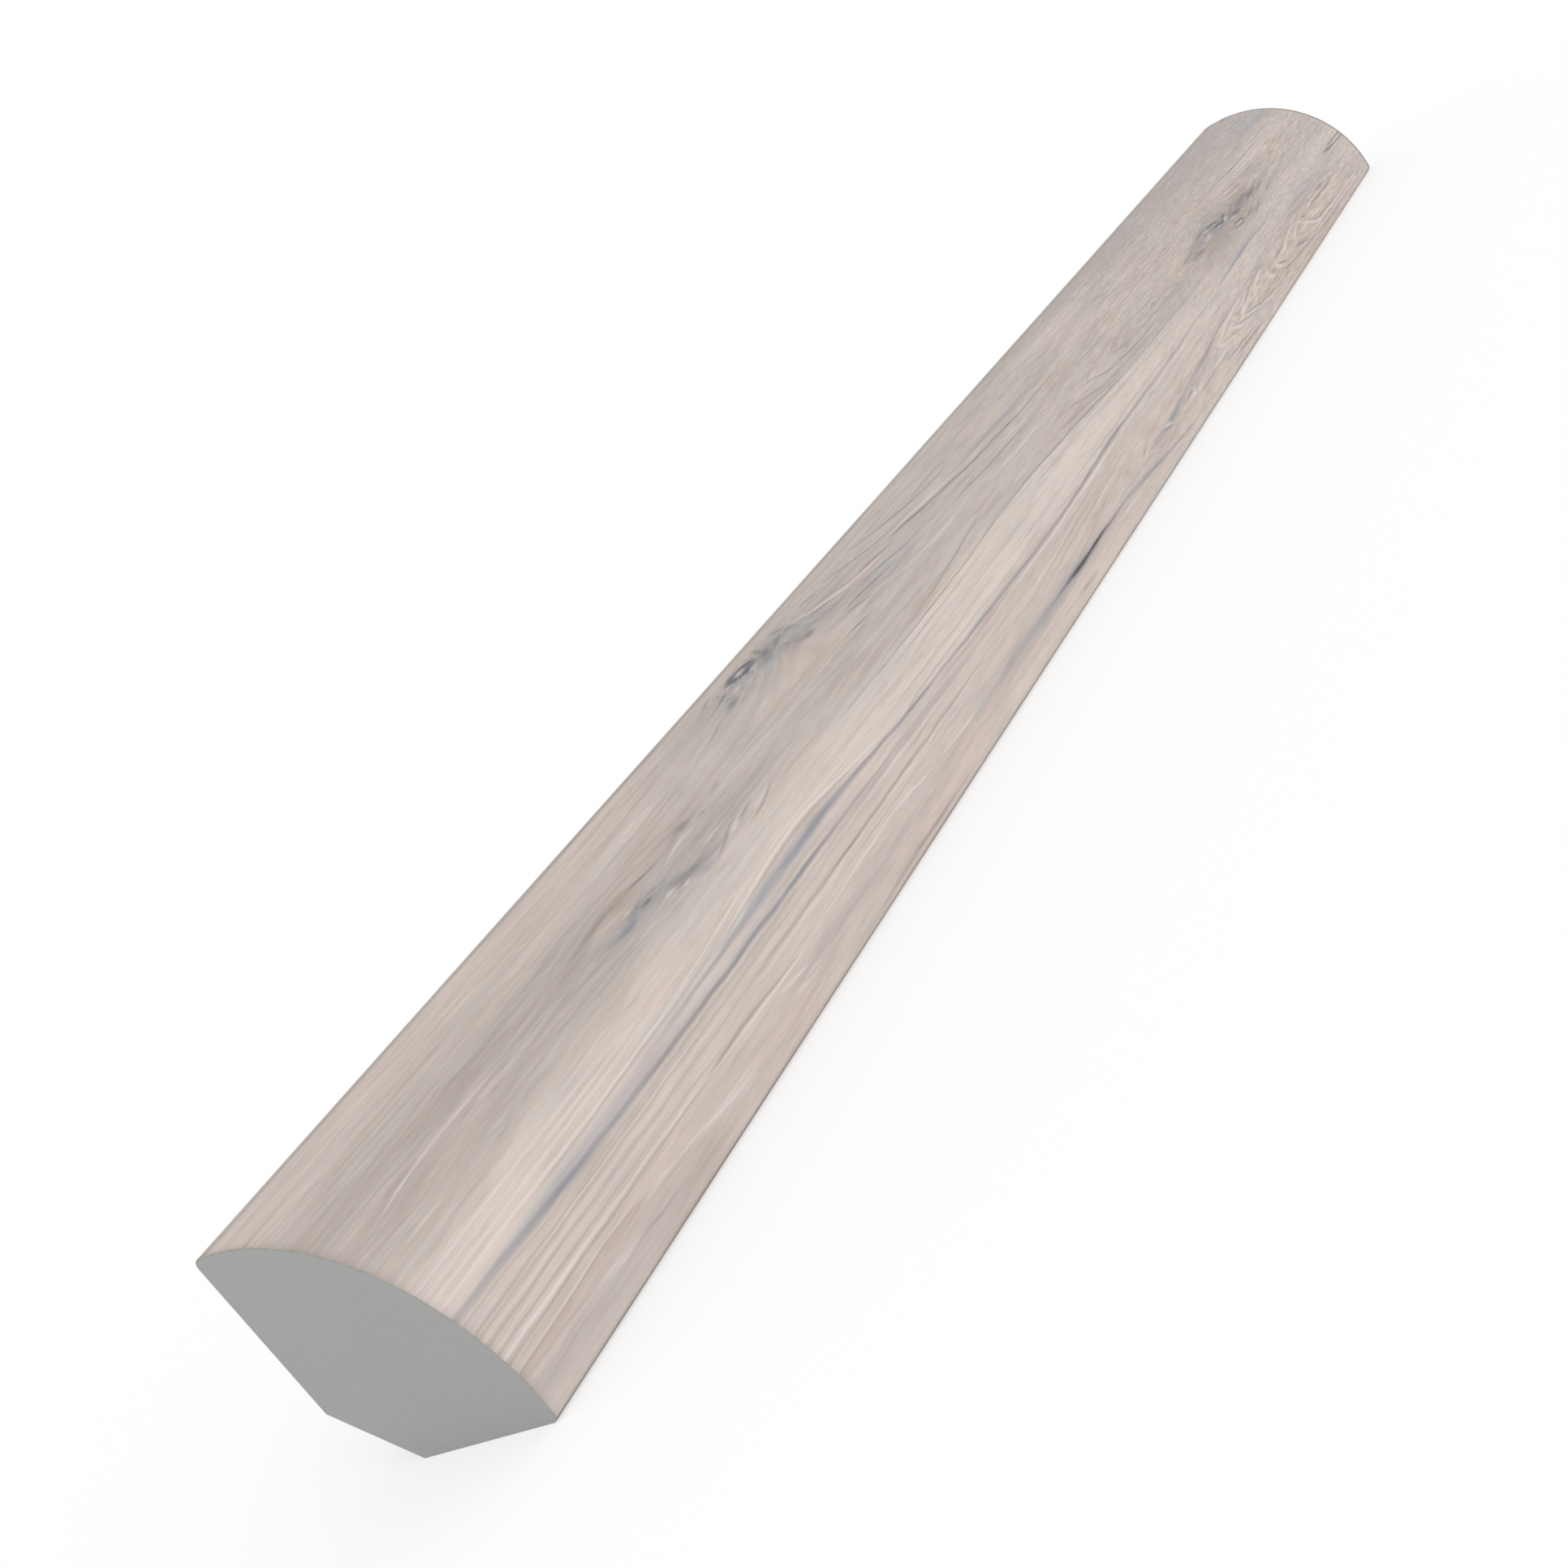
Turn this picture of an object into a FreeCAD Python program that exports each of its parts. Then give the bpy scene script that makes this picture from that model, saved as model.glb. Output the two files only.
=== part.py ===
"""A length of quarter round moulding: an extruded core and the printed film bonded over its face.

The moulding lies on the flat that meets the floor. X points out from the wall, Y runs along the
length and Z points up. The origin is the bottom middle of the whole piece. Sizes are millimetres.
"""
import FreeCAD, Part
import os
from math import pi

import Sketcher

DIMENSIONS = {
    "leg": (19.0, "height up the wall, and the same reach across the floor"),
    "length": (260.0, "sawn length"),
    "land": (1.3, "how far the centre of the round face stands off from both flats"),
    "back_chamfer": (5.3, "relief cut off the back corner, measured along each flat"),
    "nose_radius": (0.7, "eased outer corner of each nose"),
    "film_thickness": (0.15, "printed film with its clear coat"),
}

START, END, CENTRE = 1, 2, 3
ORIGIN = (-1, 1)


def dimension_sheet(doc):
    """One row for each driving dimension: its name, its value and what it measures."""
    sheet = doc.addObject("Spreadsheet::Sheet", "Dimensions")
    for row, (name, (value, meaning)) in enumerate(DIMENSIONS.items(), start=1):
        sheet.set(f"A{row}", name)
        sheet.set(f"B{row}", str(value))
        sheet.set(f"C{row}", meaning)
        sheet.setAlias(f"B{row}", name)
    doc.recompute()
    return sheet


class Section:
    """A sketch of the moulding's cross section on a body's own XZ plane, X outward and Z up."""

    def __init__(self, doc, label):
        self.body = doc.addObject("PartDesign::Body", label)
        self.body.Label = label
        plane = next(item for item in self.body.Origin.OriginFeatures if item.Role == "XZ_Plane")
        self.sketch = self.body.newObject("Sketcher::SketchObject", f"{label}_section")
        self.sketch.AttachmentSupport = [(plane, "")]
        self.sketch.MapMode = "FlatFace"

    def rule(self, kind, *where):
        return self.sketch.addConstraint(Sketcher.Constraint(kind, *where))

    def size(self, kind, *where, value, cells):
        """A dimension that starts at value and stays bound to the sheet's cells."""
        self.sketch.setExpression(f"Constraints[{self.rule(kind, *where, value)}]", cells)

    def line(self, start, end, lie=None):
        """A straight edge, kept Horizontal or Vertical where lie says so."""
        shape = Part.LineSegment(FreeCAD.Vector(*start), FreeCAD.Vector(*end))
        edge = self.sketch.addGeometry(shape, False)
        if lie:
            self.rule(lie, edge)
        return edge

    def quarter(self, centre, radius, start_angle):
        """A quarter circle that turns anticlockwise from start_angle."""
        circle = Part.Circle(FreeCAD.Vector(*centre), FreeCAD.Vector(0, 0, 1), radius)
        return self.sketch.addGeometry(Part.ArcOfCircle(circle, start_angle, start_angle + pi / 2), False)

    def join(self, edges, kind="Coincident"):
        """Joins each edge's end to the next one's start, smoothly where kind is Tangent."""
        for edge, follower in zip(edges, edges[1:]):
            self.rule(kind, edge, END, follower, START)

    def extrude(self):
        """Pads the section along Y, half of the length each way."""
        pad = self.body.newObject("PartDesign::Pad", f"{self.body.Label}_length")
        pad.Profile = self.sketch
        pad.SideType = "Symmetric"
        pad.setExpression("Length", "Dimensions.length")
        self.sketch.Visibility = False
        return self.body


def faced_side(section, sheet, depth=0.0, depth_cells="0"):
    """The five edges from the floor nose up the round face to the wall nose, anticlockwise.

    Everything lies depth below the outside of the film. Each nose is a quarter circle, each land a
    short straight tangent, and the face is a quarter circle about a centre one land off both flats.
    """
    wall = -sheet.leg / 2
    front = sheet.leg / 2 - depth
    top = sheet.leg - depth
    face_centre = (wall + sheet.land, sheet.land)
    floor_centre = (sheet.leg / 2 - sheet.nose_radius, sheet.nose_radius)
    wall_centre = (wall + sheet.nose_radius, sheet.leg - sheet.nose_radius)

    floor_nose = section.quarter(floor_centre, sheet.nose_radius - depth, -pi / 2)
    floor_land = section.line((front, floor_centre[1]), (front, face_centre[1]), "Vertical")
    face = section.quarter(face_centre, sheet.leg - sheet.land - depth, 0.0)
    wall_land = section.line((face_centre[0], top), (wall_centre[0], top), "Horizontal")
    wall_nose = section.quarter(wall_centre, sheet.nose_radius - depth, pi / 2)
    edges = [floor_nose, floor_land, face, wall_land, wall_nose]
    section.join(edges, "Tangent")

    section.size("DistanceX", face, CENTRE, *ORIGIN, value=-face_centre[0],
                 cells="Dimensions.leg / 2 - Dimensions.land")
    section.size("DistanceY", *ORIGIN, face, CENTRE, value=face_centre[1], cells="Dimensions.land")
    section.size("Radius", face, value=sheet.leg - sheet.land - depth,
                 cells=f"Dimensions.leg - Dimensions.land - {depth_cells}")
    section.size("DistanceX", wall_nose, CENTRE, *ORIGIN, value=-wall_centre[0],
                 cells="Dimensions.leg / 2 - Dimensions.nose_radius")
    section.size("DistanceY", *ORIGIN, floor_nose, CENTRE, value=floor_centre[1],
                 cells="Dimensions.nose_radius")
    for nose in (wall_nose, floor_nose):
        section.size("Radius", nose, value=sheet.nose_radius - depth,
                     cells=f"Dimensions.nose_radius - {depth_cells}")
    section.rule("Vertical", floor_nose, START, floor_nose, CENTRE)
    section.rule("Horizontal", wall_nose, END, wall_nose, CENTRE)
    return edges


def make_core(doc, sheet):
    """The extrusion: two flats, the chamfer between them and a faced side set back for the film."""
    section = Section(doc, "core")
    wall = -sheet.leg / 2
    under_nose = sheet.leg / 2 - sheet.nose_radius
    over_nose = sheet.leg - sheet.nose_radius
    film = sheet.film_thickness
    faced = faced_side(section, sheet, film, "Dimensions.film_thickness")

    wall_step = section.line((wall + film, over_nose), (wall, over_nose), "Horizontal")
    wall_flat = section.line((wall, over_nose), (wall, sheet.back_chamfer), "Vertical")
    chamfer = section.line((wall, sheet.back_chamfer), (wall + sheet.back_chamfer, 0))
    floor_flat = section.line((wall + sheet.back_chamfer, 0), (under_nose, 0), "Horizontal")
    floor_step = section.line((under_nose, 0), (under_nose, film), "Vertical")
    section.join([faced[-1], wall_step, wall_flat, chamfer, floor_flat, floor_step, faced[0]])

    section.rule("PointOnObject", floor_flat, START, ORIGIN[0])
    section.size("DistanceX", wall_flat, START, *ORIGIN, value=-wall, cells="Dimensions.leg / 2")
    section.size("DistanceX", chamfer, START, chamfer, END, value=sheet.back_chamfer,
                 cells="Dimensions.back_chamfer")
    section.size("DistanceY", chamfer, END, chamfer, START, value=sheet.back_chamfer,
                 cells="Dimensions.back_chamfer")
    return section.extrude()


def make_film(doc, sheet):
    """The film: an even strip over the face and both noses that ends flush with the two flats."""
    section = Section(doc, "decor_film")
    wall = -sheet.leg / 2
    under_nose = sheet.leg / 2 - sheet.nose_radius
    over_nose = sheet.leg - sheet.nose_radius
    film = sheet.film_thickness
    outside = faced_side(section, sheet)
    inside = faced_side(section, sheet, film, "Dimensions.film_thickness")

    wall_end = section.line((wall, over_nose), (wall + film, over_nose))
    floor_end = section.line((under_nose, film), (under_nose, 0))
    section.join([outside[-1], wall_end])
    section.rule("Coincident", wall_end, END, inside[-1], END)
    section.rule("Coincident", floor_end, START, inside[0], START)
    section.join([floor_end, outside[0]])
    return section.extrude()


def check(doc, bodies):
    """Stops where a feature failed or a body isn't one valid solid."""
    failed = [item.Label for item in doc.Objects if {"Invalid", "Error"} & set(item.State)]
    if failed:
        raise RuntimeError(f"features that failed: {failed}")
    for body in bodies:
        if body.Shape.isNull() or not body.Shape.isValid() or len(body.Shape.Solids) != 1:
            raise RuntimeError(f"{body.Label} isn't one valid solid")


def main():
    doc = FreeCAD.newDocument("quarter_round")
    sheet = dimension_sheet(doc)
    bodies = [make_core(doc, sheet), make_film(doc, sheet)]
    doc.recompute()
    check(doc, bodies)
    os.makedirs("parts", exist_ok=True)
    for body in bodies:
        body.Shape.exportStep(os.path.join("parts", f"{body.Label}.step"))
        box = body.Shape.BoundBox
        print(f"{body.Label}: {body.Shape.Volume:.1f} mm3, {len(body.Shape.Faces)} faces,",
              f"X {box.XMin:.2f} to {box.XMax:.2f}, Y {box.YMin:.2f} to {box.YMax:.2f},",
              f"Z {box.ZMin:.2f} to {box.ZMax:.2f}")


main()
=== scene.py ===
"""A length of quarter round moulding: a printed oak film bonded over the round face of a grey core.

The film's figure is drawn in millimetres on the film laid out flat. Across starts at the film's edge
on the floor flat and runs up over the face to its edge on the wall flat. Along runs from the near
cut end to the far one. The meshes are in metres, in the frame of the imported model.
"""
import math

import bpy
import numpy as np
from mathutils import Matrix, Vector


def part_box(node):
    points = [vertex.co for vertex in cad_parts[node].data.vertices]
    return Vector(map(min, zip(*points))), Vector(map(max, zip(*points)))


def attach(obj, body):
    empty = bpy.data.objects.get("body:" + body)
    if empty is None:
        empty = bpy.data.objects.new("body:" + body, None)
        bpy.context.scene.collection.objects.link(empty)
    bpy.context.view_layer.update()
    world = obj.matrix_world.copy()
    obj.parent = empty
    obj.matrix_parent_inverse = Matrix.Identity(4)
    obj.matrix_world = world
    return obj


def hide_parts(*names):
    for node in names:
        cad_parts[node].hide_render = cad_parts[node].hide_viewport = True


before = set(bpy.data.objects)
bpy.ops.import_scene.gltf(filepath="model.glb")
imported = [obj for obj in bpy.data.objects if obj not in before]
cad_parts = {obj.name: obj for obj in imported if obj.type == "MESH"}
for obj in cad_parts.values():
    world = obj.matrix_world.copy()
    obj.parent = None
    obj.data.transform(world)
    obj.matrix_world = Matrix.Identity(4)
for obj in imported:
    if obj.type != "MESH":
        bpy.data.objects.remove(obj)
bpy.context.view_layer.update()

film_low, film_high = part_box("decor_film")
core_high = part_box("core")[1]

# The sizes in millimetres. What the frame doesn't show is as in the part's own sheet of sizes.
MM = 0.001
LEG = (film_high.z - film_low.z) / MM
LENGTH = (film_high.y - film_low.y) / MM
FILM_THICKNESS = (film_high.x - core_high.x) / MM
WALL = film_low.x / MM
FRONT = film_high.x / MM
NEAR_END = film_low.y / MM
LAND = 1.3
NOSE_RADIUS = 0.7
BACK_CHAMFER = 5.3
FACE_RADIUS = LEG - LAND

# The printed face's grid, and the places where its rows lie closer: along, reach and how much closer.
COLUMNS = 250
ROWS = 380
FINE_ROWS = (
    (39, 8, 1.2), (78, 8, 1.6), (116, 7, .8), (150, 8, .5), (209, 10, 1.6), (190, 30, .4), (252, 4, .8),
)

# The print's thin marks, by ink: points along a line, each along, across, half width and strength.
PALE, CREAM, BLUE, BROWN, DARK, SLATE, BLACK = 0.0, 0.15, 0.3, 0.45, 0.6, 0.8, 1.0
MARKS = (
    # the long check, its lower branch
    (BLUE, ((-6, 9.4, .26, .5), (0, 9.42, .26, .6), (4, 9.38, .26, .65), (8, 9.18, .28, .75),
            (11, 9.02, .28, .9), (14, 8.92, .26, .95), (18, 8.82, .23, .83), (22, 8.72, .2, .78),
            (26, 8.66, .18, .83), (31, 8.56, .17, .92), (36, 8.5, .16, .95), (42, 8.48, .16, .85),
            (47, 8.45, .18, 1), (52, 8.4, .19, 1), (56, 8.35, .16, .95), (61, 8.25, .14, .7),
            (67, 8.15, .12, .5), (74, 8, .1, .4), (84, 7.85, .09, .3), (95, 7.7, .08, 0))),
    (BROWN, ((21, 8.74, .15, 0), (26, 8.7, .17, .4), (32, 8.58, .17, .5), (38, 8.52, .16, .4),
             (45, 8.5, .15, 0))),
    (BROWN, ((6, 10.2, .08, 0), (14, 10.15, .1, .4), (24, 10.15, .1, .45), (34, 10.2, .1, .4),
             (41, 10.5, .08, 0))),
    # the long check, its main branch
    (BLUE, ((26, 9.75, .14, 0), (32, 9.66, .17, .5), (38, 9.65, .17, .65), (44, 9.7, .23, .26),
            (50, 9.72, .287, .28), (55, 9.8, .299, .68), (58, 9.82, .276, 1), (61, 9.74, .253, 1),
            (64, 9.62, .218, 1), (67, 9.46, .17, 1), (70, 9.32, .15, .95), (73, 9.14, .15, .95),
            (76, 9, .16, 1), (79, 8.92, .14, .95), (84, 8.84, .12, .75), (90, 8.68, .13, .79),
            (96, 8.54, .14, .84), (103, 8.38, .14, .79), (110, 8.22, .15, .84), (117, 8.15, .16, .88),
            (123, 8.2, .15, .79), (129, 8.35, .16, 1), (134, 8.5, .19, 1), (138, 8.62, .19, 1),
            (141, 8.66, .17, .9), (146, 8.62, .14, .65), (152, 8.58, .14, .6), (160, 8.55, .15, .65),
            (166, 8.6, .15, .65), (172, 8.7, .12, .5), (178, 8.8, .12, .45), (186, 8.85, .12, .5),
            (192, 9.05, .13, .75), (196, 9.15, .203, .62), (200, 9.25, .23, .62), (203, 9.3, .23, .62),
            (206, 9.3, .189, .56), (210, 9.2, .12, .5), (216, 9.1, .11, .35), (226, 9, .1, .25),
            (238, 8.9, .1, .15), (250, 8.6, .1, 0))),
    (BLUE, ((75, 8.98, .09, 0), (77, 9.2, .09, .4), (80, 9.42, .1, .45), (86, 9.38, .1, .35),
            (94, 9.25, .09, .3), (104, 9.1, .09, .2), (112, 9, .09, 0))),
    (BLUE, ((124, 9.3, .08, 0), (131, 9.3, .09, .45), (138, 9.2, .09, .4), (146, 9.32, .1, .45),
            (153, 9.32, .1, .4), (160, 9.2, .1, .45), (166, 9.15, .1, .3), (172, 9.1, .1, 0))),
    # the rising line, and a short one near each end
    (BLUE, ((144, 4.4, .1, 0), (147, 4.48, .13, .3), (149.6, 4.3, .2, .24), (151.6, 4.3, .34, .35),
            (153.4, 4.42, .3, .32), (156, 4.7, .2, .24), (160, 5, .2, .21), (164, 5.15, .22, .2),
            (168, 5.2, .22, .8), (171, 5.45, .2, .77), (174, 5.7, .17, .77), (178, 5.92, .14, .68),
            (183, 6.05, .12, .51), (190, 6.2, .12, .42), (197, 6.5, .12, .4), (203, 6.65, .12, .4),
            (210, 6.7, .1, 0))),
    (BLUE, ((10, 2.95, .12, 0), (14, 2.7, .13, .4), (17, 2.45, .12, .45), (21, 2.25, .1, 0))),
    (BLUE, ((222, 7.6, .2, 0), (226, 7.45, .2, .4), (231, 7.2, .2, .3), (237, 7, .2, 0))),
    # the twin lines at the far end, with the pale line over them
    (SLATE, ((251, 8.25, .1, 0), (253.5, 8.2, .115, .75), (258, 8.14, .12, .8), (264, 8.1, .12, .8))),
    (SLATE, ((252, 7.72, .1, 0), (255, 7.62, .11, .7), (258, 7.58, .115, .7), (264, 7.5, .115, .7))),
    (SLATE, ((247.6, 8, .138, 0), (249.6, 7.98, .179, .84), (251.3, 7.88, .235, 1), (253, 7.78, .179, 1),
             (255, 7.7, .138, 0))),
    (CREAM, ((250, 8.66, .1, 0), (253, 8.62, .17, .7), (257, 8.6, .2, .9), (264, 8.55, .2, .9))),
    # the black streak
    (BLACK, ((101, 3.75, .1, 0), (106, 3.72, .12, .2), (110, 3.65, .16, .45), (112.4, 3.6, .25, .95),
             (114.4, 3.56, .26, 1), (117, 3.58, .2, .9), (120, 3.6, .19, .9), (123, 3.6, .17, .8),
             (126, 3.56, .14, .45), (129, 3.54, .12, .25), (134, 3.48, .1, .15), (142, 3.2, .1, 0))),
    # the lens, with the lines over and under it
    (DARK, ((30, 18.6, .16, 0), (33, 18.7, .2, .35), (35.4, 18.9, .2, .5), (37, 19.02, .18, .6),
            (38.8, 18.9, .16, .5), (40, 18.7, .12, 0))),
    (DARK, ((40.4, 18.95, .1, 0), (41.6, 18.82, .14, .8), (42.8, 18.62, .15, .9), (44, 18.5, .12, .4),
            (46, 18.4, .1, 0))),
    (BLUE, ((31, 16.9, .16, 0), (34, 16.85, .18, .4), (36, 16.6, .26, .7), (37.2, 16.5, .3, .9),
            (38.2, 16.75, .22, .7), (39.2, 17, .12, 0))),
    (DARK, ((37.6, 17, .12, 0), (38.6, 17.05, .2, .7), (39.6, 17.3, .12, .5), (41, 17.2, .12, .5),
            (42.8, 16.9, .12, .4), (45, 16.6, .1, 0))),
    (SLATE, ((39.3, 16.85, .1, 0), (39.9, 16.82, .18, .8), (40.6, 16.78, .2, .9), (41.4, 16.8, .1, 0))),
    (DARK, ((42.4, 16, .2, 0), (43.6, 15.75, .4, .48), (44.8, 15.55, .42, .52), (46.2, 15.4, .3, .4),
            (48, 15.3, .16, 0))),
    (BLUE, ((44.4, 14.9, .16, 0), (45.8, 14.7, .3, .5), (47, 14.6, .26, .4), (48, 14.5, .14, 0))),
    (DARK, ((47.2, 14.25, .1, 0), (48.8, 14.45, .14, .45), (50.4, 14.85, .16, .45), (51.8, 15.3, .16, .38),
            (53.6, 15.5, .14, .38), (56, 15.55, .1, 0))),
    (PALE, ((51, 14.85, .17, 0), (52, 14.98, .272, .56), (53, 15.15, .255, .51), (54.2, 15.35, .17, .34),
            (55.4, 15.45, .136, 0))),
    (DARK, ((52.8, 15, .1, 0), (54, 15.08, .15, .68), (55, 15.15, .13, .52), (56.2, 15.3, .08, 0))),
    (DARK, ((53.2, 14.05, .08, 0), (55, 14.15, .13, .52), (56.8, 14.35, .13, .52), (58.4, 14.7, .1, .3),
            (60, 14.9, .08, 0))),
    (PALE, ((54.8, 14.4, .136, 0), (56, 14.55, .221, .39), (57.2, 14.65, .204, .34),
            (58.6, 14.95, .136, 0))),
    (DARK, ((48.8, 18.9, .2, 0), (50, 18.8, .36, .52), (51, 18.75, .3, .45), (52, 18.6, .16, 0))),
    (DARK, ((55, 18.7, .2, 0), (56.4, 18.75, .32, .35), (58, 18.9, .2, 0))),
    (DARK, ((51.8, 18.1, .07, 0), (52.8, 18.05, .1, .5), (53.8, 18, .07, 0))),
    (BROWN, ((44.6, 17.95, .1, 0), (46.6, 18.15, .13, .5), (48.2, 18.3, .12, .5), (49.4, 18.2, .08, 0))),
    (CREAM, ((45, 17.6, .1, 0), (47, 17.88, .14, .7), (49.6, 18, .12, .6), (51.4, 17.75, .08, 0))),
    (CREAM, ((33.2, 18, .2, 0), (35, 18.2, .34, .32), (37, 18.25, .38, .36), (38.8, 18.05, .3, .24),
             (40.4, 17.8, .16, 0))),
    (PALE, ((37.6, 17.5, .08, 0), (38.5, 17.52, .13, .5), (39.4, 17.5, .08, 0))),
    (PALE, ((41, 15.65, .1, 0), (42, 15.7, .16, .6), (43, 15.75, .1, 0))),
    (PALE, ((43, 15.1, .08, 0), (43.9, 15.12, .13, .8), (44.8, 15.2, .08, 0))),
    (BROWN, ((48.4, 16.35, .08, 0), (52, 16.2, .12, .5), (55, 16.25, .12, .5), (58, 16.45, .11, .5),
             (64, 16.35, .08, 0))),
    (BROWN, ((52, 15.75, .1, 0), (56, 15.75, .13, .4), (60, 15.68, .12, .4), (64, 15.6, .1, 0))),
    (CREAM, ((48, 16.05, .08, 0), (50.4, 16.1, .12, .6), (52.8, 16.02, .08, 0))),
    # short dashes between the near end and the lens
    (PALE, ((3, 17.3, .09, 0), (6, 17.7, .1, .6), (9, 18, .11, .7), (13, 18.05, .11, .6),
            (18, 17.9, .1, .4), (24, 17.7, .08, 0))),
    (PALE, ((3, 14.9, .1, 0), (5, 14.95, .12, .6), (7.4, 14.9, .1, 0))),
    (DARK, ((13.6, 17.3, .07, 0), (14.6, 17.4, .1, .4), (16.2, 17.42, .07, 0))),
    (DARK, ((18.6, 17.38, .07, 0), (19.8, 17.45, .1, .35), (21.4, 17.4, .07, 0))),
    (DARK, ((23, 17.5, .07, 0), (24.2, 17.48, .1, .35), (25.6, 17.4, .07, 0))),
    (DARK, ((26.4, 17.05, .07, 0), (28, 17.1, .11, .4), (30, 16.95, .07, 0))),
    (DARK, ((15.8, 16.8, .07, 0), (17.4, 16.9, .1, .35), (19.2, 16.8, .07, 0))),
    (BROWN, ((10, 22.2, .08, 0), (12, 22.35, .13, .6), (14.4, 22.1, .12, .5), (17, 21.9, .08, 0))),
    (DARK, ((3.4, 23.9, .07, 0), (5.4, 23.85, .1, .35), (7, 23.7, .07, 0))),
    (DARK, ((15.6, 20.15, .08, 0), (17.6, 20.2, .13, .3), (20, 20.1, .08, 0))),
    (DARK, ((20.4, 19.4, .08, 0), (22, 19.25, .14, .35), (24, 19.15, .08, 0))),
    (DARK, ((12.8, 14.5, .08, 0), (14.4, 14.35, .14, .35), (16, 14.6, .08, 0))),
    (DARK, ((23.4, 15.7, .07, 0), (25, 15.75, .1, .35), (27, 15.65, .07, 0))),
    (DARK, ((28, 15.3, .07, 0), (29.6, 15.2, .1, .3), (31.6, 15.05, .07, 0))),
    (CREAM, ((3.4, 14.45, .08, 0), (5, 14.5, .14, .5), (7, 14.4, .08, 0))),
    # the eye and the blotches beside it
    (SLATE, ((74.2, 26.2, .22, 0), (75, 26.4, .374, .96), (75.8, 26.7, .462, 1), (76.4, 27, .374, 1),
             (77, 27.2, .176, 0))),
    (SLATE, ((76.9, 27, .154, 0), (77.6, 26.85, .308, .96), (78.3, 26.5, .418, 1), (79, 26.25, .33, .96),
             (79.8, 26.1, .176, 0))),
    (SLATE, ((75.6, 25.2, .176, 0), (76.3, 25.25, .264, .84), (77.1, 25.45, .308, 1), (77.8, 25.6, .242, 1),
             (78.4, 25.75, .132, 0))),
    (PALE, ((76.2, 26.2, .102, 0), (76.7, 26.25, .187, .6), (77.2, 26.25, .17, .6),
            (77.8, 26.15, .085, 0))),
    (PALE, ((72, 24.4, .14, 0), (72.8, 24.6, .26, .27), (73.6, 24.65, .24, .27), (74.6, 24.6, .14, 0))),
    (PALE, ((76.8, 24.85, .1, 0), (77.6, 24.95, .16, .32), (78.4, 25.05, .1, 0))),
    (DARK, ((62, 22.4, .145, 0), (64, 22.5, .169, .39), (66, 23, .194, .46), (67.6, 23.3, .145, 0))),
    (DARK, ((69.6, 25.15, .145, 0), (71, 25.2, .218, .79), (72, 25.4, .218, .92), (73.2, 25.75, .145, 0))),
    (DARK, ((70.6, 24.7, .169, 0), (71.3, 24.4, .242, .66), (72, 24.1, .145, 0))),
    (DARK, ((68.6, 23.3, .242, 0), (70, 23.5, .411, .79), (71.2, 23.7, .315, .53), (72.2, 23.9, .169, 0))),
    (DARK, ((69, 26.6, .169, 0), (70.8, 27, .242, .53), (72.2, 27.4, .242, .6), (73.6, 27.7, .145, 0))),
    (DARK, ((80.2, 25.6, .242, 0), (81, 26.1, .387, .92), (81.5, 26.7, .315, .79), (82, 27.1, .169, 0))),
    (DARK, ((78.4, 25, .242, 0), (79.6, 25, .387, .92), (80.5, 25.15, .411, 1), (81.5, 25.5, .242, .66),
            (82.2, 25.8, .145, 0))),
    (DARK, ((81, 24.5, .194, 0), (82.2, 24.8, .315, .92), (83.4, 25, .266, .92), (84.4, 25.25, .145, 0))),
    (DARK, ((76.8, 23.8, .242, 0), (78.2, 24, .411, .63), (79.8, 24.35, .436, .63), (81.2, 24.5, .29, .42),
            (82, 24.5, .169, 0))),
    (SLATE, ((84.2, 26.2, .22, 0), (84.8, 26.2, .42, .6), (85.5, 26.1, .45, .6), (86.1, 26, .22, 0))),
    (SLATE, ((84.2, 24.8, .2, 0), (84.9, 24.85, .36, .5), (85.7, 24.8, .36, .55), (86.4, 24.7, .18, 0))),
    (DARK, ((80.8, 23.3, .169, 0), (81.6, 23.25, .339, .79), (82.4, 23.15, .169, 0))),
    (DARK, ((81.4, 22.6, .145, 0), (82.2, 22.4, .242, .66), (82.9, 22.1, .145, 0))),
    (DARK, ((82, 21.6, .252, 0), (83, 21.75, .441, .57), (83.9, 21.9, .346, .51), (84.8, 21.9, .189, 0))),
    (BLUE, ((86.4, 22, .154, 0), (88.6, 21.6, .242, .57), (91, 21.5, .198, .46), (93.6, 21.3, .11, 0))),
    (DARK, ((86.6, 23.6, .121, 0), (88.4, 23.1, .242, .66), (90, 22.7, .194, .66), (92, 22.15, .121, 0))),
    (DARK, ((89.8, 26, .169, 0), (91, 25.75, .266, .47), (92.2, 25.4, .242, .4), (93.2, 25.2, .145, 0))),
    (SLATE, ((79.2, 24.7, .2, 0), (80, 24.95, .34, .5), (81, 25.05, .3, .4), (81.8, 25.1, .16, 0))),
    (SLATE, ((80.4, 25.9, .18, 0), (80.9, 26.3, .3, .45), (81.3, 26.7, .24, .35), (81.6, 27, .14, 0))),
    (BLUE, ((82.4, 25.6, .18, 0), (83.4, 25.7, .3, .5), (84.2, 25.7, .16, 0))),
    (BLUE, ((72.8, 25.2, .14, 0), (73.6, 25.4, .24, .6), (74.6, 25.5, .14, 0))),
    (DARK, ((81.4, 22.2, .2, 0), (82.6, 21.9, .34, .35), (83.8, 21.7, .3, .3), (85, 21.6, .2, 0))),
    (SLATE, ((77.9, 26.9, .14, 0), (78.6, 26.7, .26, .6), (79.2, 26.4, .2, .5), (79.8, 26.1, .12, 0))),
    (SLATE, ((76, 25.6, .12, 0), (76.8, 25.42, .2, .45), (77.6, 25.5, .2, .45), (78.3, 25.75, .12, 0))),
    # grain that swings away from the eye, and the fine lines beyond it
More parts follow.
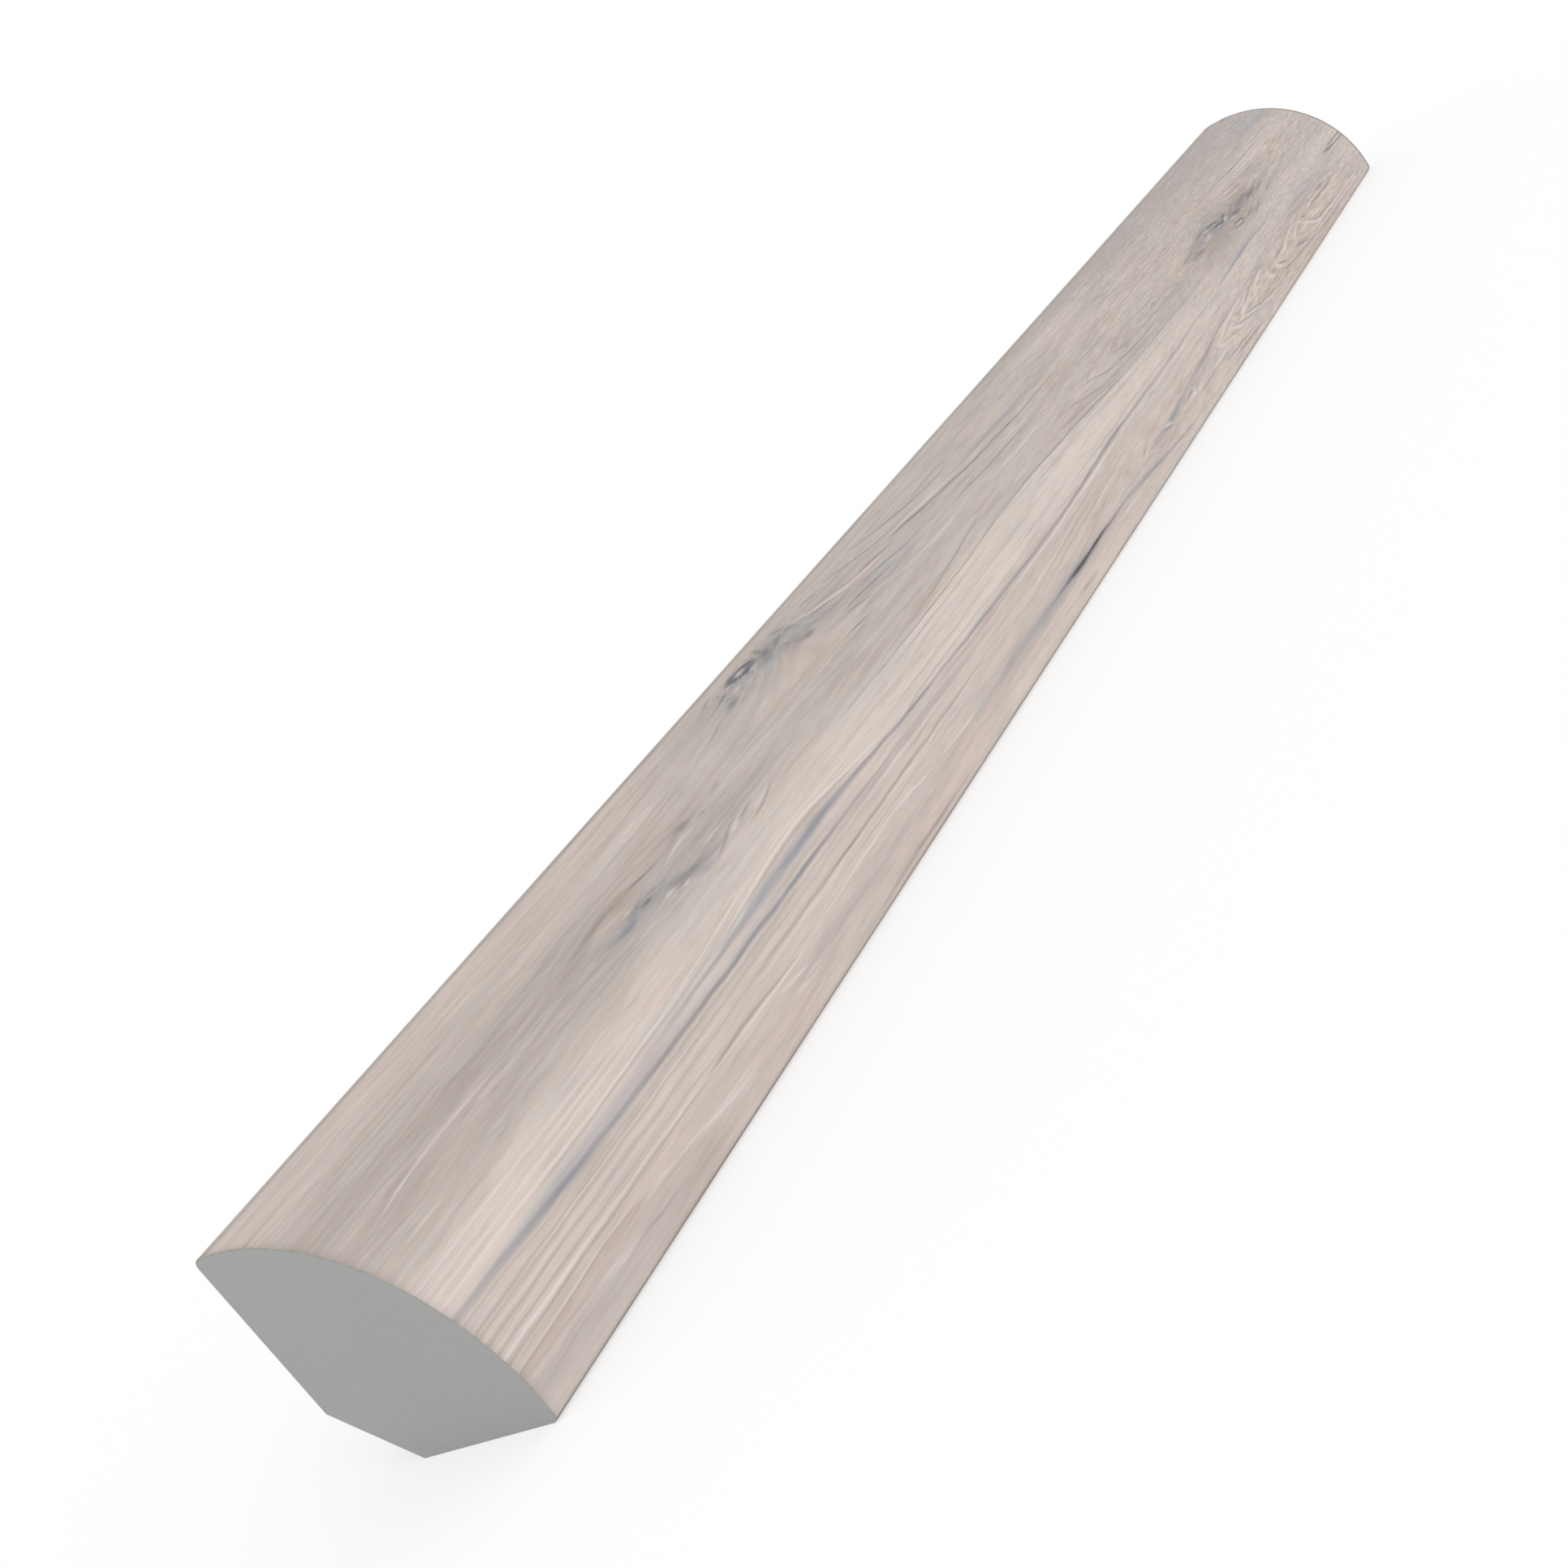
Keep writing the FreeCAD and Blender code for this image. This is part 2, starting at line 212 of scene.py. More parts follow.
    (CREAM, ((85.8, 25.2, .14, 0), (86.8, 24.6, .2, .8), (88.4, 23.65, .2, 1), (90, 22.95, .2, 1),
             (92, 22.35, .19, 1), (94, 21.95, .17, .9), (97, 21.55, .14, .7), (101, 21.05, .12, .5),
             (106, 20.6, .12, .5), (112, 20.1, .1, 0))),
    (CREAM, ((103.6, 22.4, .1, 0), (107, 22.1, .15, .6), (110, 21.8, .18, .8), (113, 21.4, .18, .8),
             (117, 21, .17, .8), (122, 20.6, .15, .6), (130, 20.2, .12, .3), (138, 20, .1, 0))),
    (DARK, ((94.6, 25.6, .12, 0), (96.2, 25.25, .2, .52), (97.4, 24.9, .2, .63), (98.6, 24.25, .18, .63),
            (100.2, 23.75, .15, .57), (102.6, 23.2, .14, .63), (105.4, 22.75, .13, .57),
            (109, 22.3, .1, 0))),
    (DARK, ((102.4, 25.5, .14, 0), (104.2, 25.2, .2, .8), (105.8, 24.7, .18, .69), (107.4, 24.25, .17, .69),
            (108.8, 23.85, .2, .92), (110.6, 23.5, .15, .69), (112.6, 23.15, .16, .8),
            (115.4, 22.8, .13, .57), (119, 22.6, .13, .57), (124, 22.3, .1, 0))),
    (DARK, ((95.4, 22, .1, 0), (97.2, 21.95, .16, .92), (99.4, 21.7, .13, .69), (101.4, 21.4, .14, .69),
            (103, 21.3, .1, 0))),
    (DARK, ((103.8, 21.95, .1, 0), (105.6, 21.75, .16, 1), (107.8, 21.5, .17, 1), (109.6, 21.2, .17, 1),
            (111.6, 20.9, .13, .92), (115, 20.6, .12, .8), (118.4, 20.25, .13, .92), (122, 19.85, .12, .8),
            (127, 19.65, .12, .8), (133, 19.35, .12, .8), (137, 19.15, .1, .69), (143, 19.1, .1, .57),
            (150, 19, .1, 0))),
    (DARK, ((90.4, 23.5, .1, 0), (92.4, 23, .14, .57), (94, 22.5, .14, .57), (95.6, 22.15, .1, 0))),
    (DARK, ((86, 20.1, .1, 0), (90.6, 20.15, .13, .69), (94, 19.75, .13, .69), (97.4, 19.4, .12, .57),
            (101, 19, .1, 0))),
    (DARK, ((86, 19.9, .1, 0), (88.6, 19.6, .13, .8), (90.6, 19.15, .12, .69), (92.4, 18.9, .1, 0))),
    (DARK, ((94.6, 20.7, .1, 0), (97.6, 20.35, .12, .57), (101, 19.85, .12, .57), (105, 19.3, .1, 0))),
    (DARK, ((97.4, 22.9, .1, 0), (100.6, 22.55, .12, .46), (104.4, 22.1, .1, 0))),
    (DARK, ((100.2, 24.25, .14, 0), (102, 24.15, .22, .46), (104, 23.95, .12, 0))),
    (DARK, ((114, 19.3, .1, 0), (118, 19.1, .12, .46), (124, 18.8, .1, 0))),
    (DARK, ((113.6, 23.85, .1, 0), (116.4, 23.62, .14, .46), (119, 23.75, .12, .29),
            (121.6, 23.7, .15, .46), (124, 23.5, .1, 0))),
    (CREAM, ((94.6, 20.85, .1, 0), (97.6, 20.75, .13, .5), (100.6, 20.5, .1, 0))),
    (CREAM, ((98.6, 24.1, .14, 0), (99.8, 24.3, .24, .5), (101, 24.7, .12, 0))),
    (CREAM, ((86, 19.1, .1, 0), (91, 18.75, .13, .5), (97, 18.45, .1, 0))),
    (DARK, ((112, 18.4, .1, 0), (116, 18.2, .11, .63), (120, 17.95, .11, .57), (126, 17.75, .12, .57),
            (132, 17.5, .1, .46), (140, 17.3, .1, 0))),
    (DARK, ((82.6, 18, .08, 0), (85, 17.9, .1, .8), (87, 17.75, .1, .69), (89.4, 17.6, .08, 0))),
    (BLUE, ((116, 20.4, .2, 0), (124, 20.9, .2, .17), (131, 20.8, .2, .28), (137, 20.5, .2, .25),
            (145, 20.45, .2, .25), (153, 20.5, .18, .17), (160, 20.6, .15, 0))),
    (BLUE, ((160, 18.7, .12, 0), (164, 18.7, .15, .45), (168, 18.6, .16, .5), (173, 18.4, .14, 0))),
    (PALE, ((95, 18, .09, 0), (99, 17.7, .11, .45), (103, 17.4, .12, .6), (107, 17.2, .1, .4),
            (112, 17, .08, 0))),
    (PALE, ((118, 16.2, .08, 0), (124, 16.3, .1, .5), (130, 16.2, .1, .7), (135, 16.15, .1, .5),
            (141, 15.9, .08, 0))),
    (CREAM, ((148, 17.3, .08, 0), (155, 17.35, .1, .28), (163, 17.4, .1, .36), (172, 16.9, .1, .32),
             (182, 16.9, .08, 0))),
    (DARK, ((88, 13.75, .08, 0), (94, 13.95, .1, .35), (100, 14.25, .1, .4), (106, 14.7, .1, .35),
            (113, 15.3, .08, 0))),
    (CREAM, ((91, 19.3, .08, 0), (94, 18.6, .11, .45), (97, 17.9, .11, .5), (100, 17.35, .11, .5),
             (103, 16.75, .08, 0))),
    (DARK, ((89, 19.7, .08, 0), (93, 19.2, .1, .3), (97, 18.7, .1, .35), (101, 18.45, .08, 0))),
    (CREAM, ((101.5, 17.85, .08, 0), (104.5, 17.5, .1, .45), (108, 17.2, .1, .4), (112, 16.8, .08, 0))),
    (CREAM, ((99.6, 24.5, .08, 0), (101.5, 23.8, .12, .5), (104, 23.15, .12, .5), (107.5, 22.55, .08, 0))),
    (DARK, ((124, 20.9, .12, 0), (128, 20.85, .16, .3), (131, 20.85, .16, .3), (134, 20.6, .1, 0))),
    (DARK, ((126, 14.3, .07, 0), (130, 14.2, .08, .3), (135, 13.85, .08, .35), (140, 13.3, .08, .3),
            (146, 12.9, .07, 0))),
    # the upper rim of the cream band
    (DARK, ((66, 13.6, .08, 0), (74, 13.4, .09, .35), (80, 13.25, .1, .49), (88, 13.15, .1, .61),
            (95, 13.12, .1, .57), (101, 13.1, .1, .53), (107, 13.2, .1, .57), (112, 13.35, .1, .57),
            (118, 13.38, .1, .57), (125, 13.22, .1, .61), (132, 12.95, .11, .66), (138, 12.7, .11, .7),
            (143, 12.45, .11, .66), (148, 12.1, .11, .61), (154, 11.85, .1, .39), (162, 11.6, .1, .36),
            (170, 11.4, .1, .33), (180, 11.2, .1, .26), (192, 11.1, .1, 0))),
    (BROWN, ((76, 14, .1, 0), (86, 13.8, .1, .35), (94, 13.95, .12, .49), (100, 14.3, .1, .39),
             (106, 14.7, .1, .35), (112, 15.2, .1, .27), (118, 15.5, .1, 0))),
    # nested arcs that open towards the far end, with the fine lines around them
    (DARK, ((131, 15.1, .08, 0), (136, 14.9, .1, .28), (139.5, 14.75, .11, .37), (141.5, 14.35, .12, .43),
            (144, 13.75, .12, .46), (147, 13.2, .12, .46), (151, 12.75, .11, .4), (156, 12.45, .11, .31),
            (163, 12.1, .1, .28), (172, 11.85, .1, .19), (182, 11.6, .1, 0))),
    (DARK, ((146.6, 15, .1, 0), (148, 14.75, .12, .43), (149.6, 14.3, .12, .5), (151.2, 13.85, .13, .56),
            (153.6, 13.45, .12, .5), (157, 13.2, .11, .43), (163, 12.85, .1, .43), (170, 12.6, .1, .34),
            (178, 12.4, .1, .25), (188, 12.3, .1, 0))),
    (DARK, ((156.6, 15, .1, 0), (157.6, 14.5, .14, .37), (159, 14.1, .16, .5), (161, 13.9, .13, .37),
            (165, 13.75, .11, .31), (171, 13.4, .11, .34), (180, 13.1, .11, .31), (190, 13, .1, 0))),
    (DARK, ((170, 15.2, .1, 0), (173, 14.95, .14, .28), (176, 14.8, .14, .25), (180, 14.5, .1, 0))),
    (DARK, ((137, 16.3, .08, 0), (145, 17.2, .1, .22), (152, 17.2, .1, .28), (158, 17, .1, .31),
            (164, 17.1, .1, .28), (170, 17.3, .08, 0))),
    (DARK, ((134, 13.9, .08, 0), (138, 13.6, .1, .25), (142, 13.2, .1, .31), (147, 12.6, .1, .31),
            (153, 12.2, .1, .25), (160, 11.9, .08, 0))),
    (DARK, ((132, 12.6, .07, 0), (138, 12.45, .08, .3), (145, 12.1, .08, .35), (152, 11.75, .08, .3),
            (160, 11.35, .08, .25), (170, 11, .08, .2), (182, 10.85, .07, 0))),
    (BROWN, ((136, 11.7, .07, 0), (146, 11.35, .08, .4), (156, 10.95, .08, .4), (166, 10.65, .08, .4),
             (178, 10.5, .07, 0))),
    (CREAM, ((138, 12.25, .07, 0), (147, 11.85, .08, .5), (157, 11.5, .08, .5), (168, 11.2, .08, .4),
             (180, 11.1, .07, 0))),
    (DARK, ((154, 12.75, .07, 0), (162, 12.35, .08, .3), (172, 12.15, .08, .3), (186, 12.05, .07, 0))),
    (CREAM, ((152, 13, .07, 0), (161, 12.6, .08, .4), (171, 12.35, .08, .4), (184, 12.2, .07, 0))),
    (CREAM, ((140, 19.7, .08, 0), (150, 19.75, .1, .4), (162, 19.6, .1, .4), (176, 19.3, .1, .35),
             (196, 19, .08, 0))),
    (BROWN, ((150, 18.1, .08, 0), (160, 18.05, .1, .4), (172, 17.85, .1, .4), (186, 17.8, .1, .3),
             (200, 17.6, .08, 0))),
    (CREAM, ((158, 16.5, .08, 0), (168, 16.4, .1, .35), (180, 16.3, .1, .35), (192, 16.2, .08, 0))),
    (DARK, ((147.9, 14.6, .08, 0), (148.6, 15, .12, .45), (150, 15.25, .12, .4), (153, 15.4, .1, .2),
            (158, 15.6, .07, 0))),
    (DARK, ((157.2, 14.6, .08, 0), (158, 15, .13, .4), (160, 15.15, .11, .3), (165, 15.4, .1, .25),
            (172, 15.7, .07, 0))),
    (DARK, ((137.4, 14.9, .08, 0), (139, 15.1, .11, .3), (142, 15.1, .1, .25), (146, 15.3, .07, 0))),
    (PALE, ((172.6, 14.6, .08, 0), (174.4, 14.75, .14, .45), (176, 14.5, .12, .3), (177.4, 14.4, .08, 0))),
    (DARK, ((162, 13.35, .07, 0), (170, 12.95, .08, .3), (180, 12.7, .08, .3), (192, 12.6, .07, 0))),
    (CREAM, ((164, 13.1, .07, 0), (172, 12.75, .08, .4), (184, 12.5, .07, 0))),
    (DARK, ((140, 17.9, .07, 0), (148, 17.75, .09, .3), (156, 17.6, .09, .3), (166, 17.65, .07, 0))),
    (BROWN, ((168, 19.1, .07, 0), (176, 18.8, .09, .4), (188, 18.5, .09, .35), (200, 18.4, .07, 0))),
    (DARK, ((184, 18.1, .07, 0), (194, 17.9, .09, .3), (206, 17.75, .09, .3), (216, 17.4, .07, 0))),
    (CREAM, ((186, 17.1, .07, 0), (198, 17.2, .1, .4), (210, 17, .07, 0))),
    (DARK, ((178, 16.9, .07, 0), (186, 16.8, .08, .3), (196, 16.75, .07, 0))),
    # the knot cluster, with the lines beside it and beyond it
    (DARK, ((190, 13.8, .12, 0), (192.6, 13.62, .168, .6), (195, 13.48, .192, .84),
            (196.6, 13.5, .096, 0))),
    (DARK, ((189, 14.3, .12, 0), (192, 14.4, .156, .42), (195, 14.85, .156, .54), (197.6, 15.1, .144, .48),
            (200.4, 15.08, .156, .72), (203, 15.2, .144, .48), (206, 15.4, .096, 0))),
    (BLUE, ((196, 14.2, .2, 0), (198, 14.25, .34, .6), (199.6, 14.35, .3, .5), (201.4, 14.3, .16, 0))),
    (DARK, ((201.8, 14.95, .12, 0), (203, 14.9, .168, .96), (204.4, 14.72, .216, 1),
            (205.4, 14.6, .168, .84), (206.4, 14.45, .192, .96), (207.4, 14.3, .12, .36),
            (208, 14.2, .096, 0))),
    (SLATE, ((203.2, 14.15, .108, 0), (204.4, 14.1, .216, .78), (205.6, 13.98, .238, .78),
             (206.8, 13.75, .281, .78), (207.6, 13.75, .194, .75), (208.2, 13.9, .108, .28),
             (208.6, 14, .086, 0))),
    (SLATE, ((207.8, 14, .12, 0), (208.6, 14.1, .204, 1), (209.3, 14.2, .18, 1), (210, 14.3, .096, 0))),
    (DARK, ((203.4, 13.4, .096, 0), (204.8, 13.42, .144, .72), (206.2, 13.5, .096, 0))),
    (PALE, ((203.8, 14.4, .07, 0), (205, 14.36, .09, .8), (206, 14.2, .07, 0))),
    (PALE, ((204, 13.62, .07, 0), (205.2, 13.7, .1, .8), (206.2, 13.55, .07, 0))),
    (CREAM, ((207.4, 13.5, .1, 0), (208.4, 13.65, .18, .9), (209.4, 13.85, .12, .5), (210, 13.9, .08, 0))),
    (DARK, ((209.8, 13.4, .12, 0), (211, 13.2, .24, 1), (212.1, 13.05, .288, 1), (213.2, 13, .216, .84),
            (214.6, 13.1, .12, 0))),
    (DARK, ((210.6, 13.5, .096, 0), (211.4, 13.85, .168, .72), (212.6, 14.12, .168, .72),
            (214.4, 14.2, .144, .48), (217, 14.1, .096, 0))),
    (DARK, ((213.4, 13.5, .168, 0), (215, 13.6, .288, .66), (217, 13.65, .288, .66),
            (218.8, 13.75, .24, .6), (220.4, 13.6, .204, .84), (222, 13.7, .12, 0))),
    (DARK, ((218, 12.9, .144, 0), (219.2, 13.15, .24, .72), (220.8, 13.1, .24, .9),
            (222.4, 13.25, .192, .6), (225, 13.4, .12, 0))),
    (DARK, ((206, 11.95, .084, 0), (207.4, 11.75, .12, .72), (209, 11.52, .132, .96),
            (210.6, 11.5, .12, .6), (211.8, 11.6, .084, 0))),
    (SLATE, ((207.2, 12.15, .096, 0), (208.8, 12.25, .132, .72), (210, 12.12, .18, 1),
             (211, 11.85, .168, .96), (211.8, 11.65, .096, 0))),
    (PALE, ((207, 11.9, .08, 0), (208.6, 11.9, .13, .27), (210, 11.78, .12, .24), (210.8, 11.68, .07, 0))),
    (DARK, ((211.6, 11.35, .096, 0), (213, 11.4, .156, .66), (215, 11.65, .132, .48),
            (217, 11.9, .096, 0))),
    (DARK, ((214, 10.75, .096, 0), (216, 10.95, .156, .54), (218.4, 11.3, .156, .6),
            (220.4, 11.5, .096, 0))),
    (BLUE, ((208.6, 16.8, .1, 0), (209.9, 16.9, .18, .45), (211.4, 17, .1, 0))),
    (CREAM, ((212, 15.8, .08, 0), (216, 15.35, .11, .6), (221, 15.05, .11, .6), (226, 14.65, .11, .5),
             (229, 14.3, .08, 0))),
    (CREAM, ((208, 16.4, .08, 0), (213, 16.2, .1, .4), (219, 15.85, .1, .5), (225, 15.5, .08, 0))),
    (DARK, ((222, 11.3, .096, 0), (226.4, 11.75, .144, .6), (229, 12.1, .096, 0))),
    (DARK, ((219, 12.3, .096, 0), (224, 12.8, .132, .42), (229, 13.5, .096, 0))),
    (BROWN, ((209.8, 12.8, .14, 0), (211.4, 12.6, .28, .7), (213, 12.4, .24, .5), (215, 12.3, .14, 0))),
    (DARK, ((227, 15.9, .08, 0), (230.2, 15.8, .12, .6), (233, 15.65, .1, .3), (239, 15.3, .08, 0))),
    (DARK, ((240, 15.3, .08, 0), (244, 15.1, .1, .55), (248, 14.95, .1, .5), (252, 14.8, .08, 0))),
    (DARK, ((216, 18.4, .1, 0), (221, 18.2, .12, .4), (227, 17.85, .13, .5), (232, 17.7, .12, .4),
            (238, 17.65, .1, .4), (246, 17.3, .1, 0))),
    (DARK, ((224, 10.9, .1, 0), (230, 12, .11, .35), (238, 12.5, .1, .35), (246, 12.55, .1, .3),
            (256, 12.3, .1, 0))),
    (DARK, ((170, 20.4, .08, 0), (173, 20.25, .11, .55), (176, 20, .1, .5), (182, 19.7, .1, 0))),
    (DARK, ((255.6, 26.6, .2, 0), (257, 26.5, .25, .72), (259, 26.4, .28, 1), (264, 26.4, .25, 1))),
    (CREAM, ((213, 17.2, .1, 0), (219, 17.1, .12, .4), (226, 16.9, .13, .48), (234, 16.7, .12, .4),
             (242, 16.4, .11, .32), (250, 16.1, .11, .36), (264, 15.9, .1, .32))),
    (CREAM, ((222, 10.4, .1, 0), (229, 10.7, .12, .48), (235, 10.9, .12, .4), (241, 11, .1, 0))),
    (PALE, ((197.4, 13.8, .08, 0), (199, 13.75, .12, .4), (200.6, 13.95, .14, .5), (202, 14.3, .1, 0))),
    (DARK, ((199.6, 14.6, .09, 0), (201, 14.55, .13, .5), (202.4, 14.35, .13, .5), (203.4, 14.1, .09, 0))),
    (PALE, ((200.8, 14.75, .08, 0), (202, 14.65, .11, .5), (203.2, 14.45, .08, 0))),
    (CREAM, ((209, 13, .1, 0), (210, 12.85, .18, .6), (211.2, 12.55, .14, .5), (212, 12.4, .08, 0))),
    (DARK, ((208.2, 13.35, .08, 0), (209.2, 13.3, .13, .55), (210.2, 13.15, .08, 0))),
    (DARK, ((217.8, 13.55, .08, 0), (219, 13.45, .12, .6), (220, 13.3, .08, 0))),
    (DARK, ((220.4, 12.7, .08, 0), (223, 12.75, .11, .4), (226, 13.1, .1, .35), (229, 13.3, .08, 0))),
    (CREAM, ((220, 14.15, .08, 0), (224, 14.1, .11, .4), (229, 13.9, .08, 0))),
    (CREAM, ((222, 12, .08, 0), (227, 12.4, .1, .4), (233, 12.9, .1, .3), (240, 13.2, .08, 0))),
    (DARK, ((214, 11.9, .08, 0), (217, 11.95, .11, .35), (220, 12.1, .08, 0))),
    (BLUE, ((207.6, 12.02, .1, 0), (208.8, 12.1, .18, .5), (210.2, 12.05, .18, .5), (211.2, 11.9, .1, 0))),
    (PALE, ((208.4, 12.3, .08, 0), (209.4, 12.32, .12, .4), (210.6, 12.2, .08, 0))),
    # the arms of the arrowheads, with the lines beside their band
    (BLUE, ((130, 3.5, .16, 0), (135, 3.2, .22, .4), (138, 2.95, .26, .6), (141, 2.75, .22, .5),
            (144, 2.6, .12, 0))),
    (DARK, ((139, 2.9, .12, 0), (141, 2.75, .168, .46), (143, 2.6, .192, .54), (145, 2.4, .18, .54),
            (147, 2.3, .168, .54), (150, 2.1, .168, .46), (154, 1.9, .144, .39), (158, 1.8, .144, .31),
            (166, 1.7, .12, 0))),
    (CREAM, ((138, 4.4, .096, 0), (140, 4.3, .12, .77), (141.4, 4.3, .132, .88), (142.2, 4.6, .132, .88),
             (143, 4.95, .12, .66), (144.4, 5.05, .096, 0))),
    (CREAM, ((141.2, 4.2, .096, 0), (142.6, 4.05, .132, .77), (143.8, 3.7, .132, .77),
             (145, 3.35, .096, 0))),
    (BROWN, ((139.8, 4.55, .096, 0), (141, 4.75, .144, .77), (142, 5, .12, .44), (143, 5.2, .096, 0))),
    (BROWN, ((142.4, 4.35, .12, 0), (143.8, 4.25, .192, .66), (145.6, 4.3, .168, .44), (147, 4.4, .12, 0))),
    (PALE, ((148.2, 4.42, .096, 0), (149.2, 4.38, .144, .88), (150.6, 4.2, .168, .99),
            (151.6, 4.05, .12, 0))),
    (DARK, ((147.6, 4.3, .096, 0), (149, 4.15, .144, .77), (150.2, 3.95, .12, .66), (151.2, 3.8, .096, 0))),
    (SLATE, ((150.2, 4.4, .14, 0), (151.4, 4.35, .28, .34), (152.8, 4.4, .24, .29), (154.6, 4.6, .16, .19),
             (157, 4.85, .12, .14), (160, 5, .1, 0))),
    (BROWN, ((150.6, 3.6, .12, 0), (151.6, 3.35, .144, .55), (152.6, 3.2, .096, 0))),
    (DARK, ((157.8, 3.95, .096, 0), (159, 4.08, .156, .53), (160.2, 4.18, .144, .46),
            (161.2, 4.2, .096, 0))),
    (PALE, ((158.4, 3.9, .12, 0), (159.4, 3.82, .168, .58), (160.6, 3.82, .204, .75),
            (161.6, 4.05, .144, .49), (162.4, 4.4, .096, 0))),
    (PALE, ((161, 3.58, .096, 0), (163, 3.5, .12, .61), (165.4, 3.45, .096, 0))),
    (BLUE, ((161.6, 3.25, .12, 0), (164, 3.18, .156, .66), (167, 3.15, .156, .55), (171, 3.25, .12, 0))),
    (PALE, ((168, 3.62, .125, 0), (170, 3.58, .156, .88), (174, 3.4, .156, .76), (178, 3.35, .125, 0))),
    (CREAM, ((161.4, 5.9, .096, 0), (163.4, 6.05, .144, .88), (165.6, 6.35, .12, .77),
             (167, 6.45, .096, 0))),
    (PALE, ((173.8, 4.6, .156, 0), (174.8, 4.4, .281, 1), (175.6, 4.25, .281, 1), (176.4, 4.1, .156, 0))),
    (PALE, ((174.6, 4.75, .125, 0), (177.6, 4.92, .172, .88), (179.2, 5.15, .187, .88),
            (181, 5.45, .172, .88), (184, 5.72, .156, .76), (188, 5.95, .14, .51), (192, 6.15, .125, 0))),
    (BROWN, ((176, 4.65, .104, 0), (178.4, 4.85, .143, .69), (180, 5.15, .143, .69), (182.4, 5.4, .13, .46),
             (185, 5.5, .104, 0))),
    (BROWN, ((176, 4.5, .104, 0), (178, 4.2, .143, .69), (180.4, 3.85, .143, .69), (183, 3.45, .13, .46),
             (186, 3.2, .104, 0))),
    (PALE, ((179.6, 4.62, .125, 0), (181, 4.45, .187, 1), (182.4, 4, .218, 1), (183.4, 3.7, .187, 1),
            (184.6, 3.45, .125, 0))),
    (PALE, ((182, 5.3, .156, 0), (182.9, 5.1, .281, .88), (183.7, 4.95, .234, .63),
            (184.6, 4.85, .125, 0))),
    (BROWN, ((183.6, 5.2, .156, 0), (184.6, 5.05, .312, .8), (186, 4.82, .208, .46), (187, 4.8, .13, 0))),
    (DARK, ((181.4, 4.5, .104, 0), (183.2, 4.2, .13, .55), (184.8, 3.85, .143, .64), (187, 3.5, .13, .55),
            (190, 3.15, .117, .37), (194, 2.8, .104, 0))),
    (PALE, ((183.4, 4.2, .125, 0), (185, 4.12, .187, 1), (186.4, 4.3, .203, 1), (187.5, 4.65, .218, 1),
            (188.6, 4.85, .172, .76), (189.4, 4.9, .125, 0))),
    (PALE, ((187.4, 5.15, .156, 0), (188.4, 5.25, .234, 1), (189.6, 5.3, .187, .76), (191, 5.55, .156, .51),
            (193, 5.8, .125, 0))),
    (DARK, ((188.2, 4.95, .13, 0), (189.2, 5.05, .182, .65), (190.8, 5.35, .156, .6), (193, 5.7, .143, .52),
            (196, 5.95, .13, .45), (200, 6.1, .13, .3), (206, 6.2, .104, 0))),
    (PALE, ((185.6, 4.05, .125, 0), (187.6, 3.75, .172, 1), (190, 3.42, .156, .88), (193, 3.25, .156, .76),
            (197, 3, .125, 0))),
    (DARK, ((186.4, 4.15, .104, 0), (188.4, 3.85, .143, .74), (190.6, 3.55, .143, .74),
            (194, 3.12, .13, .64), (198, 2.85, .117, .46), (203, 2.5, .104, 0))),
    (PALE, ((192.6, 2.98, .125, 0), (195, 2.78, .187, 1), (197.6, 2.5, .156, .76), (201, 2.25, .125, 0))),
    (CREAM, ((177.8, 2.8, .156, 0), (179.4, 2.95, .25, 1), (180.8, 2.8, .203, .88), (183, 2.5, .156, .51),
             (187, 2.25, .125, 0))),
    (BLUE, ((171, 2.95, .156, 0), (174, 2.95, .234, .57), (178, 2.9, .156, 0))),
    (PALE, ((171.8, 2.78, .125, 0), (173, 2.62, .203, .76), (174.4, 2.7, .125, 0))),
    (DARK, ((173, 2.65, .104, 0), (177, 2.5, .13, .57), (181, 2.35, .13, .57), (186, 2.15, .13, .34),
            (192, 1.95, .104, 0))),
    (DARK, ((176, 2.1, .104, 0), (180, 1.85, .143, .69), (184, 1.75, .143, .69), (188, 1.55, .13, .57),
            (193, 1.3, .104, 0))),
    (PALE, ((192.8, 4.55, .156, 0), (193.6, 4.75, .25, .76), (194.4, 5.1, .187, .76), (196.4, 5.4, .172, 1),
            (198.6, 5.7, .187, 1), (201.4, 5.8, .125, 0))),
    (PALE, ((191, 3.85, .156, 0), (192.4, 4, .218, .44), (193.6, 4.4, .218, .57), (194.2, 4.6, .125, 0))),
    (PALE, ((199, 4.65, .218, 0), (200.4, 4.8, .312, .69), (201.4, 4.95, .25, .69),
            (202.4, 5.15, .156, 0))),
    (PALE, ((199.8, 4.45, .156, 0), (201, 4.2, .25, .78), (202, 3.95, .187, .59), (203, 3.8, .125, 0))),
    (BROWN, ((201.6, 4.55, .182, 0), (202.8, 4.35, .39, .8), (204.2, 4.2, .286, .57),
             (205.2, 4.3, .13, 0))),
    (BROWN, ((201.4, 5.05, .13, 0), (203, 4.98, .234, .57), (204.8, 5, .156, .34), (206, 5.1, .104, 0))),
    (BLUE, ((201, 3.15, .13, 0), (202.6, 3.05, .208, .57), (204, 2.95, .13, 0))),
    (PALE, ((203.4, 4.25, .125, 0), (204.8, 4.18, .187, .78), (206, 3.95, .234, .78),
            (207.2, 3.55, .203, .78), (208.4, 3.3, .125, 0))),
    (PALE, ((204.8, 4.7, .156, 0), (205.8, 4.8, .312, .78), (206.8, 4.7, .218, .49),
            (207.6, 4.6, .125, 0))),
